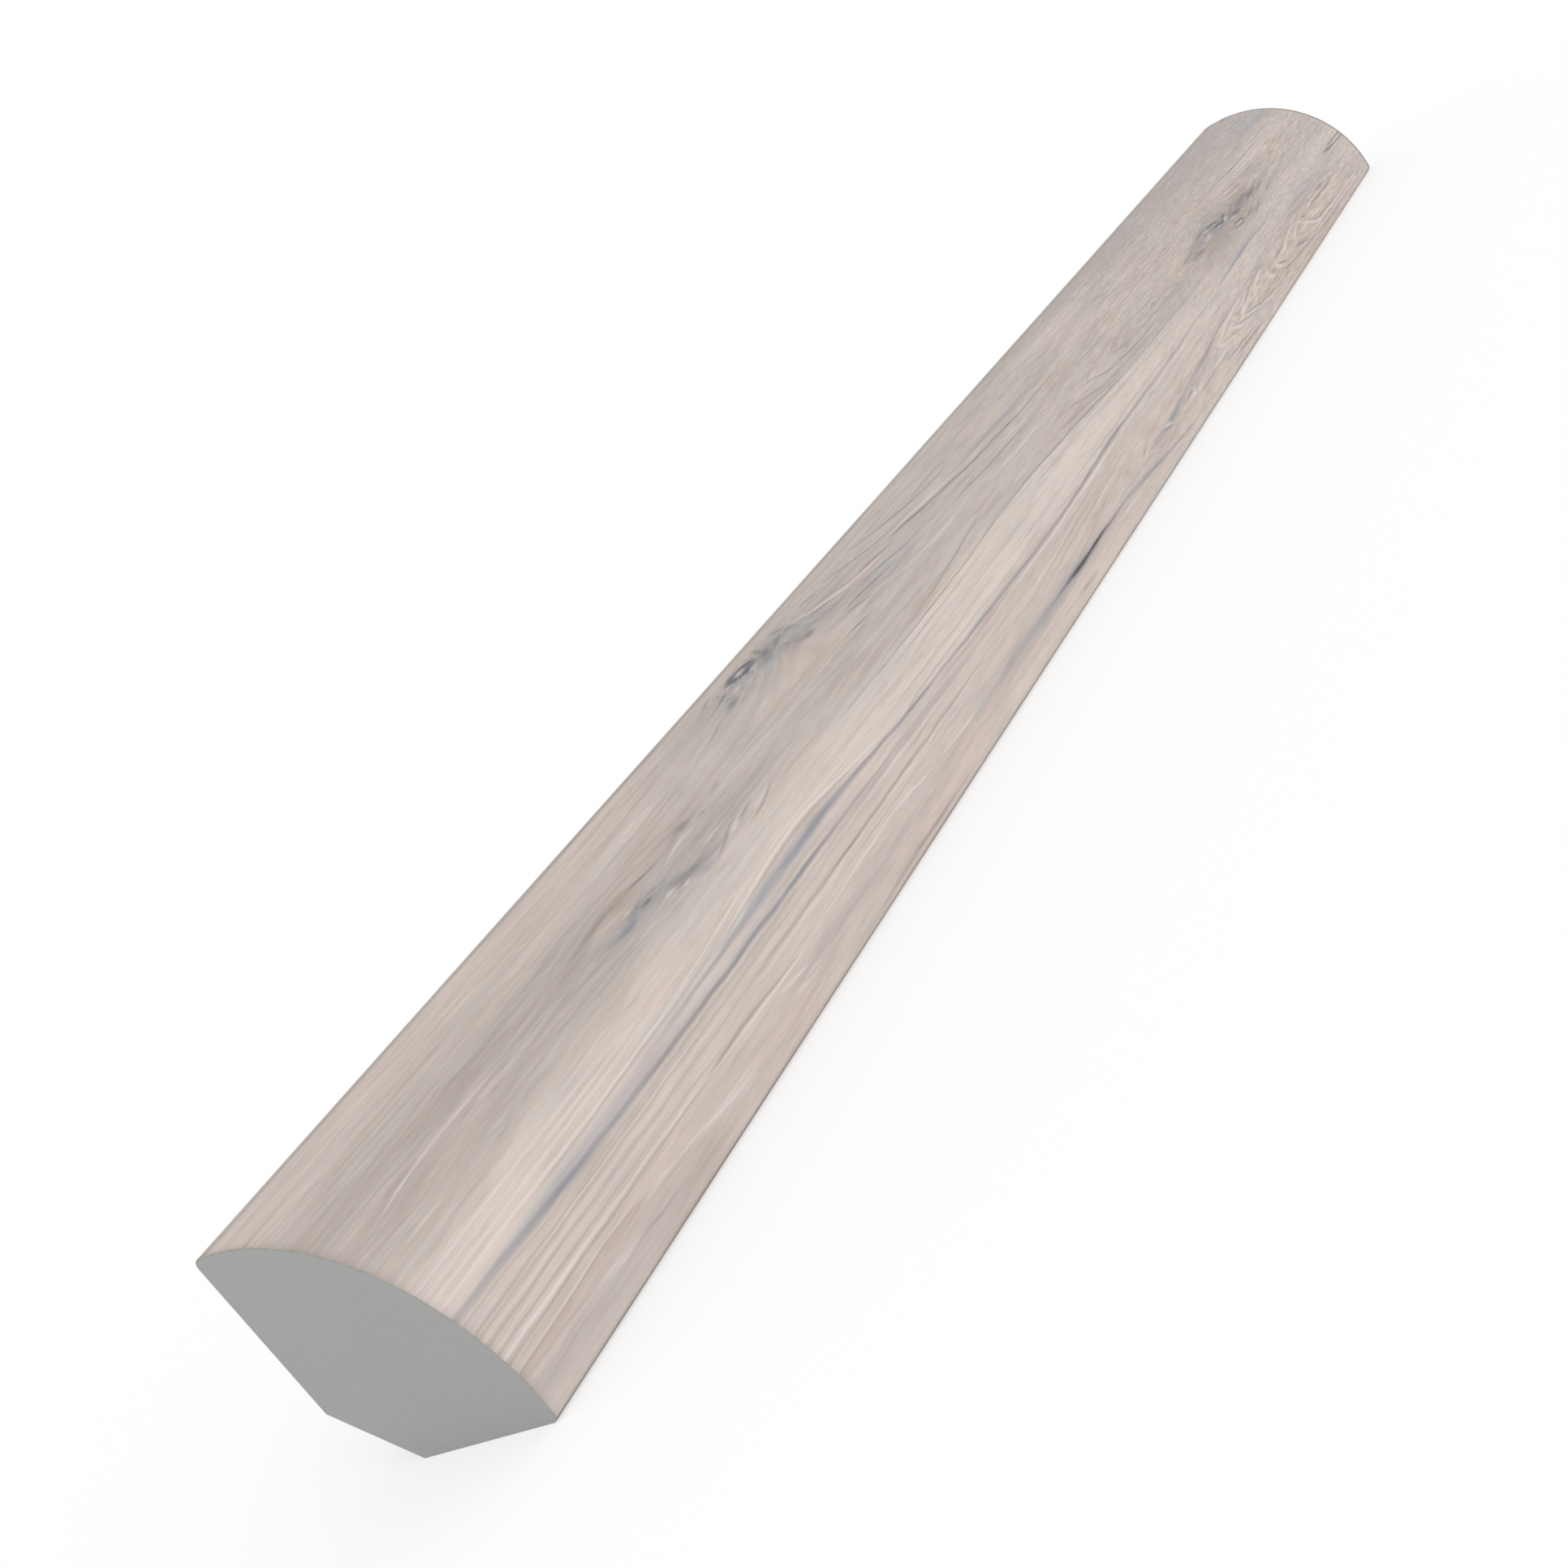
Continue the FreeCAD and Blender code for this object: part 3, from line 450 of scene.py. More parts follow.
    (DARK, ((205.4, 4.4, .104, 0), (206.6, 4.15, .156, .69), (208, 3.85, .13, .57), (210, 3.6, .104, 0))),
    (DARK, ((206.2, 4.85, .13, 0), (207.4, 5.05, .182, .69), (209.6, 5.2, .143, .57), (212, 5.35, .13, .34),
            (215, 5.5, .104, 0))),
    (PALE, ((209.6, 4.7, .156, 0), (210.8, 4.68, .265, .69), (212, 4.95, .218, .69), (213, 5.25, .187, .59),
            (215.4, 5.5, .156, .49), (218.6, 5.75, .14, .49), (222, 6.3, .125, 0))),
    (PALE, ((209.4, 4.3, .156, 0), (210.8, 4.12, .25, .49), (212.2, 4.2, .156, 0))),
    (BROWN, ((211.8, 4.6, .13, 0), (213.4, 4.75, .26, .57), (215.4, 4.6, .208, .46), (217, 4.5, .13, 0))),
    (PALE, ((215.6, 4.55, .125, 0), (216.8, 4.35, .234, .78), (217.6, 4.6, .218, .78),
            (218.6, 4.88, .187, .78), (220.2, 5.08, .156, .59), (222.4, 5.2, .125, 0))),
    (CREAM, ((216.4, 4.2, .125, 0), (217.8, 3.85, .187, .78), (219.6, 3.6, .172, .69),
             (222, 3.25, .156, .59), (225, 2.9, .156, .59), (229, 2.65, .125, 0))),
    (BROWN, ((217.4, 4.35, .13, 0), (218.8, 4.7, .208, .69), (220.6, 4.9, .182, .57), (223, 5, .13, 0))),
    (BROWN, ((217.4, 4.3, .104, 0), (219, 3.95, .156, .57), (221.4, 3.6, .156, .57),
             (223.6, 3.15, .104, 0))),
    (DARK, ((213.4, 3.85, .104, 0), (215.2, 3.55, .143, .48), (216.8, 3.3, .195, .64),
            (218.4, 3.05, .234, .7), (219.8, 2.95, .156, .4), (222, 2.8, .104, 0))),
    (PALE, ((221.8, 4.85, .125, 0), (223, 4.72, .203, .78), (223.9, 4.4, .203, .78),
            (224.6, 3.95, .203, .78), (225.8, 3.5, .187, .78), (227.4, 3.08, .187, .78),
            (229.6, 2.85, .172, .78), (233, 2.75, .172, .78), (238, 2.6, .156, .69), (246, 2.45, .14, .49),
            (256, 2.3, .125, 0))),
    (DARK, ((223.8, 4.95, .13, 0), (224.6, 4.5, .182, .55), (225.4, 4.05, .169, .64),
            (226.6, 3.65, .156, .64), (228.2, 3.25, .143, .64), (230.6, 3.08, .143, .74),
            (234, 3.02, .13, .55), (238, 2.85, .13, .55), (243, 2.7, .104, 0))),
    (DARK, ((223.2, 5.4, .156, 0), (224.2, 5.2, .26, .8), (225, 4.9, .156, .46), (226, 4.7, .104, 0))),
    (PALE, ((225.4, 4.75, .156, 0), (227, 4.5, .203, .49), (228.6, 4.15, .234, .78),
            (230.4, 3.9, .187, .49), (234, 3.7, .156, .4), (240, 3.4, .14, .29), (248, 3.1, .125, 0))),
    (BROWN, ((226.4, 4.92, .104, 0), (228.4, 4.78, .156, .8), (230.8, 4.75, .156, .8),
             (233.4, 4.88, .104, 0))),
    (CREAM, ((231.8, 4.7, .125, 0), (233.4, 4.62, .203, .78), (236, 4.62, .203, .78),
             (239, 4.55, .187, .78), (241.2, 4.2, .25, .78), (243.4, 4, .187, .59), (247, 3.8, .125, 0))),
    (DARK, ((229, 5.25, .104, 0), (231.8, 5.25, .156, .69), (235, 5.1, .13, .57), (239, 4.95, .156, .69),
            (243, 5, .13, .46), (248, 5, .104, 0))),
    (BLUE, ((234.4, 5.85, .182, 0), (236.6, 5.75, .286, .8), (238.2, 5.72, .234, .57), (240, 5.8, .13, 0))),
    (PALE, ((239, 5.9, .104, 0), (242, 5.75, .156, .44), (247, 5.5, .104, 0))),
    (DARK, ((204, 3.35, .104, 0), (208, 2.95, .143, .69), (213, 2.65, .13, .57), (218, 2.42, .13, .57),
            (223, 2.1, .13, .46), (230, 1.9, .13, .46), (238, 1.82, .13, .46), (246, 1.75, .104, 0))),
    (PALE, ((206.4, 3.25, .125, 0), (210, 2.95, .156, .49), (214, 2.75, .156, .49), (219, 2.55, .125, 0))),
    (PALE, ((220, 2.35, .125, 0), (226, 2.18, .156, .59), (232, 2.1, .156, .59), (240, 1.98, .156, .49),
            (250, 1.9, .125, 0))),
    (SLATE, ((218.6, 6.95, .13, 0), (220.6, 6.9, .195, .24), (223, 6.7, .208, .28), (226, 6.45, .195, .24),
             (228, 6.3, .182, .24), (231, 6.15, .13, 0))),
    (PALE, ((220, 6.1, .104, 0), (226, 5.9, .13, .36), (232, 5.5, .13, .36), (240, 5.2, .104, 0))),
    (PALE, ((176, 8.95, .117, 0), (184, 8.98, .13, .57), (192, 8.85, .13, .57), (200, 8.95, .117, .34),
            (210, 8.9, .117, 0))),
    (BROWN, ((54, 1.3, .1, 0), (60, 1.35, .13, .7), (68, 1.35, .13, .7), (78, 1.2, .1, 0))),
    (BROWN, ((-6, 4.4, .09, .6), (3, 4.34, .09, .7), (8, 4.44, .09, .7), (12, 4.54, .1, .5),
             (15, 4.34, .1, .5), (18, 4, .1, 0))),
    (BLUE, ((46, .95, .1, 0), (54, 1.15, .16, .3), (62, 1.3, .18, .36), (72, 1.3, .16, .3),
            (84, 1.25, .12, .16), (94, 1.2, .1, 0))),
    (BROWN, ((80, 8.35, .1, 0), (86, 8.28, .13, .4), (93, 8.15, .13, .4), (101, 8, .12, .35),
             (110, 7.8, .1, 0))),
    (BROWN, ((44, 8.98, .12, 0), (50, 8.98, .18, .35), (56, 8.95, .16, .3), (62, 8.85, .1, 0))),
    # the ruled grain, and the pale threads between its lines
    (BROWN, ((-6, 6.95, .111, .5), (6, 6.92, .119, .56), (14, 6.85, .111, .5), (24, 6.7, .102, .43),
             (34, 6.6, .102, .37), (44, 6.55, .112, .69), (52, 6.46, .122, .9), (62, 6.4, .122, .9),
             (70, 6.36, .102, .8), (80, 6.34, .094, .69), (92, 6.3, .085, .25), (102, 6.3, .085, 0))),
    (BROWN, ((-6, 6.15, .093, .43), (8, 6.1, .102, .5), (16, 6, .102, .43), (24, 5.85, .085, .37),
             (32, 5.6, .085, .25), (40, 5.4, .085, 0))),
    (BROWN, ((-6, 5.2, .1, .5), (8, 5.25, .11, .6), (18, 5.2, .1, .6), (26, 5.14, .1, .5),
             (31, 5.3, .13, .9), (34.6, 5.3, .14, 1), (37.4, 5.14, .12, .8), (42, 4.95, .1, .5),
             (48, 4.6, .09, 0))),
    (BROWN, ((-6, 7.65, .085, .37), (10, 7.6, .085, .43), (20, 7.5, .085, .37), (36, 7.4, .085, .31),
             (52, 7.3, .085, .25), (64, 7.2, .085, 0))),
    (BROWN, ((8, 8.25, .085, 0), (18, 8.18, .085, .31), (30, 8.02, .085, .37), (44, 7.88, .085, .37),
             (60, 7.72, .085, .31), (74, 7.5, .085, 0))),
    (BROWN, ((-6, 8.85, .068, .31), (4, 8.8, .068, .37), (10, 8.5, .068, .31), (20, 8.4, .068, .19),
             (28, 8.3, .068, 0))),
    (BROWN, ((44, 10.5, .1, 0), (48, 10.6, .14, .5), (54, 10.8, .16, .6), (59, 10.6, .16, .6),
             (63, 10.3, .12, .4), (68, 9.9, .1, 0))),
    (BROWN, ((60, 11.9, .09, 0), (68, 11.7, .1, .35), (78, 11.5, .09, .3), (90, 11.3, .09, 0))),
    (BROWN, ((76, 12.6, .08, 0), (84, 12.5, .09, .5), (94, 12.4, .09, .45), (104, 12.4, .08, .3),
             (114, 12.5, .08, 0))),
    (BROWN, ((100, 5.6, .1, 0), (108, 5.9, .1, .4), (116, 6.3, .1, .45), (124, 6.6, .1, .4),
             (134, 6.9, .1, 0))),
    (BROWN, ((112, 3.9, .1, 0), (118, 4.4, .1, .4), (124, 5, .12, .5), (129, 5.4, .1, .4),
             (136, 5.7, .1, 0))),
    (BROWN, ((110, 1.75, .15, 0), (112.4, 1.78, .2, .7), (114.4, 1.76, .2, .6), (117, 1.75, .12, 0))),
    (PALE, ((0, 10.55, .1, .3), (4, 10.55, .11, .7), (9, 10.5, .12, 1), (15, 10.42, .12, 1),
            (24, 10.37, .11, .9), (30, 10.45, .1, .8), (36, 10.7, .1, .8), (41, 11.02, .11, .9),
            (46, 11.3, .12, .5), (50, 11.45, .1, 0))),
    (PALE, ((38, 10.3, .09, 0), (43, 10.5, .11, .6), (47, 10.78, .11, .9), (51, 11.1, .11, 1),
            (55, 11.15, .11, 1), (58, 11.05, .11, 1), (62, 10.66, .11, 1), (66, 10.15, .11, .9),
            (70, 9.88, .1, .5), (75, 9.65, .1, 0))),
    (PALE, ((-6, 11.25, .12, .5), (6, 11.2, .12, .6), (18, 11.15, .12, .6), (28, 11.2, .1, .4),
            (36, 11.5, .1, .3), (44, 11.8, .1, 0))),
    (PALE, ((-6, 12.35, .1, .5), (8, 12.35, .11, .7), (16, 12.3, .1, .6), (24, 12.2, .1, .3),
            (32, 12.2, .1, 0))),
    (PALE, ((-6, 11.8, .08, .4), (10, 11.75, .09, .5), (20, 11.7, .08, .5), (32, 11.75, .08, 0))),
    (PALE, ((41, 10.02, .1, 0), (43, 10.15, .14, .8), (45.6, 10.3, .1, 0))),
    (PALE, ((40, 4.8, .08, 0), (46, 4.86, .1, .7), (52, 4.96, .11, 1), (58, 5.02, .11, .9),
            (64, 5.08, .1, .8), (67, 4.98, .1, 1), (68.8, 4.75, .11, 1), (70.5, 4.55, .1, .8),
            (72.5, 4.42, .08, .4), (76, 4.35, .08, .5), (78.4, 4.22, .1, 1), (81, 4.12, .11, 1),
            (83, 4.08, .08, .4), (85, 4.05, .08, 0))),
    (PALE, ((-6, 5.62, .13, .8), (6, 5.64, .13, .9), (12, 5.6, .12, .9), (18, 5.52, .11, .9),
            (25, 5.36, .1, .8), (31, 5.08, .09, .6), (37, 4.85, .1, .8), (43, 4.72, .1, .9),
            (48, 4.68, .1, .4), (52, 4.6, .08, 0))),
    (PALE, ((-6, 7.3, .085, .43), (10, 7.25, .085, .43), (24, 7.1, .085, .37), (38, 7, .085, .31),
            (54, 6.85, .085, .25), (66, 6.8, .085, 0))),
    (PALE, ((-6, 6.5, .085, .37), (10, 6.5, .085, .37), (24, 6.3, .085, .31), (40, 6.15, .085, .31),
            (56, 6.1, .085, .37), (68, 6.1, .085, .5), (80, 6.05, .085, .43), (90, 6, .085, 0))),
    (PALE, ((96, 7.9, .08, 0), (106, 7.85, .1, .7), (113, 7.75, .1, .8), (121, 7.8, .1, .6),
            (129, 7.9, .1, .9), (136, 8.1, .1, .9), (142, 8.2, .09, .4), (150, 8.1, .08, 0))),
    (PALE, ((0, 4.52, .07, 0), (3, 4.48, .08, .7), (8, 4.58, .08, .8), (12, 4.68, .08, .4),
            (15, 4.5, .07, 0))),
    (PALE, ((15.6, 3.95, .1, 0), (17.4, 3.95, .2, .6), (19, 3.85, .18, .5), (22, 3.62, .12, .5),
            (25, 3.4, .1, .6), (27, 3.05, .1, .8), (28.4, 2.78, .1, .9), (30.4, 2.7, .1, .5),
            (33, 2.68, .08, 0))),
    (PALE, ((23.6, 2.1, .08, 0), (26, 2.35, .1, .5), (28.4, 2.66, .1, .4), (30, 2.7, .08, 0))),
    (PALE, ((8.6, 3.3, .1, 0), (10.4, 3.2, .13, .6), (12.6, 3.05, .1, .4), (15, 2.95, .08, 0))),
    (PALE, ((9.6, 3, .08, 0), (11.6, 2.88, .11, .9), (13.4, 2.8, .1, .6), (15, 2.7, .08, 0))),
    (PALE, ((38.6, 4.5, .1, 0), (40.2, 4.2, .17, .8), (41.6, 4.1, .16, .8), (43, 3.9, .1, .7),
            (44.8, 3.65, .08, 0))),
    (PALE, ((40, 3.2, .08, 0), (41.6, 3.1, .12, .8), (43, 2.95, .1, .6), (45, 2.85, .08, 0))),
    (PALE, ((42.6, 3.4, .08, 0), (44, 3.3, .1, .5), (46, 3.1, .08, 0))),
    (PALE, ((124, 2.9, .08, 0), (128, 2.78, .1, .6), (131, 2.62, .1, .9), (133.4, 2.45, .09, .5),
            (136, 2.2, .08, 0))),
    (PALE, ((90, 2.7, .08, 0), (98, 2.65, .1, .4), (108, 2.7, .1, .6), (114, 2.85, .1, .4),
            (120, 2.9, .08, 0))),
    (PALE, ((92, 1.75, .08, 0), (98, 1.75, .1, .4), (104, 1.7, .1, .4), (110, 1.6, .08, 0))),
    (BROWN, ((-6, 7.98, .07, .4), (10, 7.95, .08, .4), (24, 7.8, .07, .3), (36, 7.68, .07, 0))),
    (PALE, ((4, 7.8, .07, 0), (14, 7.78, .08, .5), (28, 7.62, .08, .4), (42, 7.55, .07, 0))),
    (BROWN, ((100, 5.1, .07, 0), (108, 5.3, .08, .4), (116, 5.75, .08, .45), (126, 6.1, .08, .3),
             (134, 6.2, .07, 0))),
    (PALE, ((104, 6.25, .07, 0), (112, 6.4, .08, .5), (120, 6.75, .08, .4), (130, 7.1, .07, 0))),
    (BROWN, ((108, 7, .07, 0), (118, 7.1, .08, .4), (128, 7.35, .08, .3), (138, 7.5, .07, 0))),
    (PALE, ((118, 5.5, .07, 0), (124, 5.75, .08, .5), (130, 6.1, .08, .5), (138, 6.3, .07, 0))),
    (BROWN, ((100, 9.9, .07, 0), (110, 9.85, .08, .4), (122, 9.95, .08, .4), (134, 9.9, .07, 0))),
    (CREAM, ((98, 10.5, .07, 0), (108, 10.45, .08, .5), (120, 10.55, .08, .4), (132, 10.4, .07, 0))),
    (BROWN, ((92, 10.95, .07, 0), (104, 11, .08, .4), (116, 11.1, .08, .4), (130, 11, .07, 0))),
    (CREAM, ((108, 11.6, .07, 0), (118, 11.65, .08, .5), (128, 11.5, .08, .4), (138, 11.3, .07, 0))),
    (BROWN, ((116, 12.2, .07, 0), (126, 12.15, .08, .4), (136, 11.9, .08, .4), (146, 11.5, .07, 0))),
    (BLUE, ((54, 7.95, .1, 0), (64, 7.88, .12, .4), (76, 7.72, .12, .4), (88, 7.55, .12, .3),
            (98, 7.5, .1, 0))),
    (PALE, ((56, 7.55, .08, 0), (68, 7.45, .1, .6), (80, 7.3, .1, .6), (94, 7.1, .09, .4),
            (104, 7, .08, 0))),
    (BROWN, ((50, 5.6, .08, 0), (60, 5.62, .1, .5), (72, 5.5, .1, .4), (84, 5.4, .08, 0))),
    (BROWN, ((70, 10.2, .08, 0), (80, 10.25, .1, .4), (92, 10.1, .1, .4), (104, 10.2, .08, 0))),
    (CREAM, ((62, 12.6, .08, 0), (74, 12.5, .1, .6), (88, 12.7, .1, .6), (100, 12.6, .08, 0))),
)
# Soft strokes, drawn like the marks: a haze of the blue ink and shadows of the dark one.
BLUE_HAZE = (
    ((2, 9.5, .3, 0), (8, 9.45, .4, .5), (13, 9.35, .5, .66), (18, 9.3, .5, .62), (24, 9.35, .45, .5),
     (31, 9.4, .4, .3), (37, 9.5, .3, .1), (42, 9.75, .4, .55), (46, 9.8, .52, .9), (50, 9.82, .56, 1),
     (54, 9.85, .5, 1), (58, 9.85, .44, .95), (60.5, 9.82, .34, .7), (63, 9.75, .25, .2), (70, 9.4, .2, 0)),
    ((188, 9, .2, 0), (195, 9.2, .3, .55), (200, 9.28, .34, .8), (204, 9.3, .3, .7), (209, 9.25, .24, .3),
     (216, 9.1, .2, 0)),
    ((20, 8.95, .25, 0), (26, 8.9, .26, .35), (34, 8.8, .26, .35), (42, 8.75, .2, .15), (48, 8.7, .2, 0)),
    ((86, 3.95, .25, 0), (94, 3.92, .36, .5), (102, 3.82, .4, .75), (110, 3.68, .38, .9),
     (116, 3.62, .36, .85), (124, 3.58, .25, .55), (130, 3.5, .2, .5), (137, 3.3, .2, .3),
     (146, 2.9, .2, .15), (152, 2.6, .2, 0)),
    ((40, 3.5, .3, 0), (46, 3.45, .35, .3), (54, 3.4, .35, .4), (62, 3.35, .3, .3), (72, 3.9, .3, .15),
     (80, 4, .3, 0)),
    ((222, 7.5, .3, 0), (228, 7.2, .45, .35), (235, 6.9, .4, .3), (241, 6.8, .3, 0)),
    ((222, 27.3, .4, 0), (228, 27, .5, .55), (232, 26.5, .45, .8), (237, 25.9, .4, .75),
     (243, 25.2, .35, .6), (249, 24.6, .3, .5), (255, 24.3, .3, 0)),
    ((236, 21.2, .4, 0), (243, 21, .6, .35), (249, 20.6, .7, .55), (256, 20.2, .7, .6), (264, 20, .7, .5)),
    ((112, 20.6, .4, 0), (124, 20.9, .4, .2), (137, 20.5, .4, .3), (150, 20.5, .4, .3), (160, 20.6, .3, 0)),
    ((145, 4.2, .25, 0), (150, 4.3, .34, .6), (155, 4.5, .34, .4), (164, 5.1, .3, .35), (170, 5.3, .3, .35),
     (178, 5.7, .2, 0)),
    ((-6, 2.4, .5, .2), (6, 2.5, .5, .25), (16, 2.2, .5, .2), (24, 1.6, .4, 0)),
    ((194, 14.4, .4, 0), (198, 14.3, .5, .35), (203, 14.5, .45, .4), (208, 14.2, .4, 0)),
)
DARK_HAZE = (
    ((34, 16.9, .4, 0), (37, 16.6, .5, .4), (41, 16.6, .5, .35), (45, 15.6, .5, .4), (48, 15, .4, .3),
     (52, 15, .3, 0)),
    ((47, 19, .4, 0), (50, 18.8, .5, .4), (53, 18.7, .4, 0)),
    ((73, 25.9, .5, 0), (75, 26.2, .8, .5), (78, 26, .9, .6), (81, 25.4, .9, .6), (84, 25.3, .9, .5),
     (87, 25.2, .7, 0)),
    ((78, 23.4, .5, 0), (82, 22.8, .6, .45), (86, 22.2, .6, .35), (90, 21.8, .5, 0)),
    ((67, 23.2, .5, 0), (70, 23.8, .6, .3), (73, 24.8, .5, .2), (75, 25.4, .4, 0)),
    ((200, 14.2, .4, 0), (204, 14.1, .6, .45), (208, 13.8, .6, .5), (212, 13.2, .6, .5),
     (217, 13.4, .5, .4), (221, 13.2, .45, .4), (227, 13, .3, 0)),
    ((186, 14, .3, 0), (191, 13.9, .4, .3), (196, 14.1, .4, .3), (201, 14.6, .3, 0)),
    ((211, 11.6, .3, 0), (215, 11.3, .4, .3), (221, 11.3, .4, .2), (228, 11.6, .3, 0)),
    ((134, 25.6, .4, 0), (138, 25.5, .5, .35), (143, 25.5, .4, 0)),
    ((106, 3.6, .5, 0), (112, 3.55, .5, .16), (118, 3.5, .45, .14), (126, 3.4, .3, 0)),
)
# Soft areas of tone, of cool and pink tint and of dark specks: along, across, half length, half
# width, strength.
TONE_AREAS = (
    (12, 19, 26, 3, -.2), (38, 18.2, 15, 2.6, -.2), (46, 15.3, 9, 1, -.14), (58, 16.2, 14, 1.4, -.1),
    (78, 24.8, 9, 2.2, -.2), (88, 23, 12, 3, -.14), (100, 20.6, 16, 2.4, -.1), (84, 15.2, 20, 1.8, -.12),
    (108, 3.6, 22, .9, -.14), (66, 3.2, 16, .7, -.06), (124, 24.6, 14, 1.2, -.08), (138, 25.5, 5, .7, -.15),
    (140, 20.4, 16, .8, -.06), (205, 13.6, 17, 1.7, -.26), (222, 13, 18, 1.4, -.2),
    (200, 11.5, 34, 1.4, -.14), (168, 13.6, 26, 1.6, -.14), (232, 6, 16, 1.2, -.12), (220, 6.8, 22, 1, -.1),
    (200, 26.5, 50, 3.4, -.22), (250, 22.5, 22, 4.5, -.12), (168, 27.6, 26, 2, -.12),
    (252, 20.4, 10, 1.3, -.06), (6, 1.6, 12, 1.6, .06), (150, 4, 14, .8, -.06), (215, 20, 20, 3, -.06),
    (110, 27.5, 40, 1.6, -.08), (40, 26, 34, 3.6, .06), (16, 5.9, 34, 2.2, .12), (58, 6, 30, 1.4, .16),
    (110, 1.6, 40, .9, .12), (60, 18.6, 7, 1.6, .1), (132, 22.2, 20, 1, .06), (236, 17, 22, 1.2, .14),
    (240, 9.6, 22, 1, .12), (180, 7.8, 40, 1, .12), (220, 2.2, 34, 1, .06), (30, 13.6, 40, 1.4, .08),
    (165, 23.4, 16, 1.2, .06), (110, 6, 22, 1.4, .06), (78, 4.6, 16, 1.2, .1), (6, 27.4, 20, 2.2, .16),
    (235, 2, 34, 1.6, -.24), (208, 13, 12, 2.2, -.12), (70, 25.4, 9, 1.6, -.26), (167, 25.2, 13, 1.5, .27),
    (248, 27.4, 16, 1.8, -.18), (206, 3.4, 12, 1, -.1), (206, 15.8, 10, 1.2, -.2), (208, 13.8, 13, 1, -.16),
    (206, 11.8, 14, 1.6, -.1), (225, 8, 14, 1.6, -.12), (88, 3.4, 10, 1.2, -.1), (30, 22, 18, 2, .09),
    (86, 21.4, 8, 1.4, -.1), (126, 27, 12, 1.6, .1), (230, 3, 30, 1, -.08), (28, 11.6, 12, 1, -.1),
    (250, 11.5, 10, 1.2, -.1), (48, 14, 10, 1.4, .09), (215, 15.6, 12, 1.2, -.08),
    (225, 24.5, 34, 3.2, -.08), (4, 1.2, 8, 1, .16), (82, 25.4, 4, 1.6, -.08), (222, 3.2, 20, 1, -.06),
    (240, 5, 16, 1, -.08), (250, 10.5, 10, 2.4, -.08), (215, 16.5, 20, 1.6, -.07), (58, 15.2, 14, 1.2, .09),
    (48, 23, 10, 1.2, .09), (50, 5, 10, 1, .06), (6, 3.2, 10, 1, .08), (4, 7.2, 10, 1, .07),
    (20, 28.8, 30, .9, .13), (120, 28.7, 34, .8, .1), (205, 28.5, 34, 1, -.09), (256, 9.4, 6, .8, .08),
    (40, 27.5, 20, 1.4, .06), (80, 3.2, 16, 1, -.06), (70, 9.7, 8, .8, -.08), (108, 11.5, 8, 1, -.06),
)
COOL_AREAS = (
    (78, 25, 14, 3, .6), (105, 22, 26, 4, .35), (42, 16, 20, 1.6, .3), (66, 15.6, 30, 2.6, .15),
    (160, 14, 40, 3, .25), (205, 26, 46, 4, .6), (252, 21, 16, 4, .6), (206, 11.8, 26, 1.6, .12),
    (20, 9.4, 26, .8, .3), (54, 9.85, 16, .6, .45), (110, 3.8, 22, .8, .4), (150, 4.4, 12, .7, .4),
    (60, 3.3, 24, .9, .2), (14, 2.8, 12, 1, .3), (230, 7.4, 20, 1.4, .4), (120, 17.6, 24, 2, .5),
    (140, 20.4, 18, 1, .3), (30, 27.5, 40, 2.4, -.5), (18, 18.5, 24, 3.4, .2), (30, 3, 40, 1.6, .2),
    (150, 19, 16, 2, -.35), (185, 7, 30, 1.2, .2), (252, 18, 12, 2, -.35), (210, 23, 14, 1.4, .3),
    (252, 3, 10, 1.6, .4), (252, 13, 8, 1.6, .3), (242, 7.2, 14, 1.4, .35), (242, 27, 16, 1.6, .4),
)
PINK_AREAS = (
    (25, 27, 34, 2.4, .5), (12, 11.2, 30, 1.4, .35), (60, 11, 30, .9, .5), (110, 9.4, 40, .9, .5),
    (30, 3, 40, 2.4, .6), (90, 2, 40, 1.6, .7), (170, 5.6, 40, 1.4, .6), (220, 3.6, 40, 2, .7),
    (120, 6.4, 34, 1.6, .5), (175, 9.2, 24, .8, .3), (96, 26.6, 16, 1.6, .1), (10, 24, 20, 1.2, .05),
    (210, 16.2, 20, 1, .2), (220, 25, 50, 3, .3), (14, 5.4, 40, 1.6, .3), (8, 9.8, 24, 1.4, .3),
    (158, 15, 18, 1.6, .4), (150, 2.6, 12, 1.6, .4), (228, 5.4, 12, 1.4, .5), (236, 1.2, 18, 1, .8),
    (66, 8.2, 14, 1.6, .25), (208, 13.4, 12, 1, .25), (228, 7.4, 10, 1, .3), (20, 21.5, 20, 1.6, -.08),
    (60, 23.5, 60, 1.2, -.2), (248, 15.8, 12, 1, -.3), (60, 9.1, 12, .8, .35), (52, 8.95, 18, .4, .45),
    (92, 8.2, 18, .4, .4), (162, 25.2, 16, 1.4, .25), (4, 19, 14, 1.6, .2),
)
SPECKLE_AREAS = (
    (77, 26, 6, 1.7, .9), (82, 25, 5, 2, 1), (84, 22.6, 5, 1, .5), (91, 25.6, 5, 1.2, .5),
    (71, 24, 4, 1, .5), (206, 14, 6, .9, 1.2), (212, 13, 6, 1, 1), (209, 12.1, 4, .5, .7),
    (221, 13.2, 6, .7, .6), (45, 15.6, 7, .8, .5), (39, 17, 6, .5, .5), (199, 14.4, 6, .7, .5),
)
# Areas where the fibres bend up or down over and under a knot, laid out like the areas above.
FIBRE_BENDS = (
    (38, 19.6, 7, 1.3, .7), (38, 16.4, 7, 1.2, -.5), (208, 16.4, 13, 2, 1.1), (208, 11, 13, 1.6, -.9),
    (56, 10.6, 12, 1, .5),
)
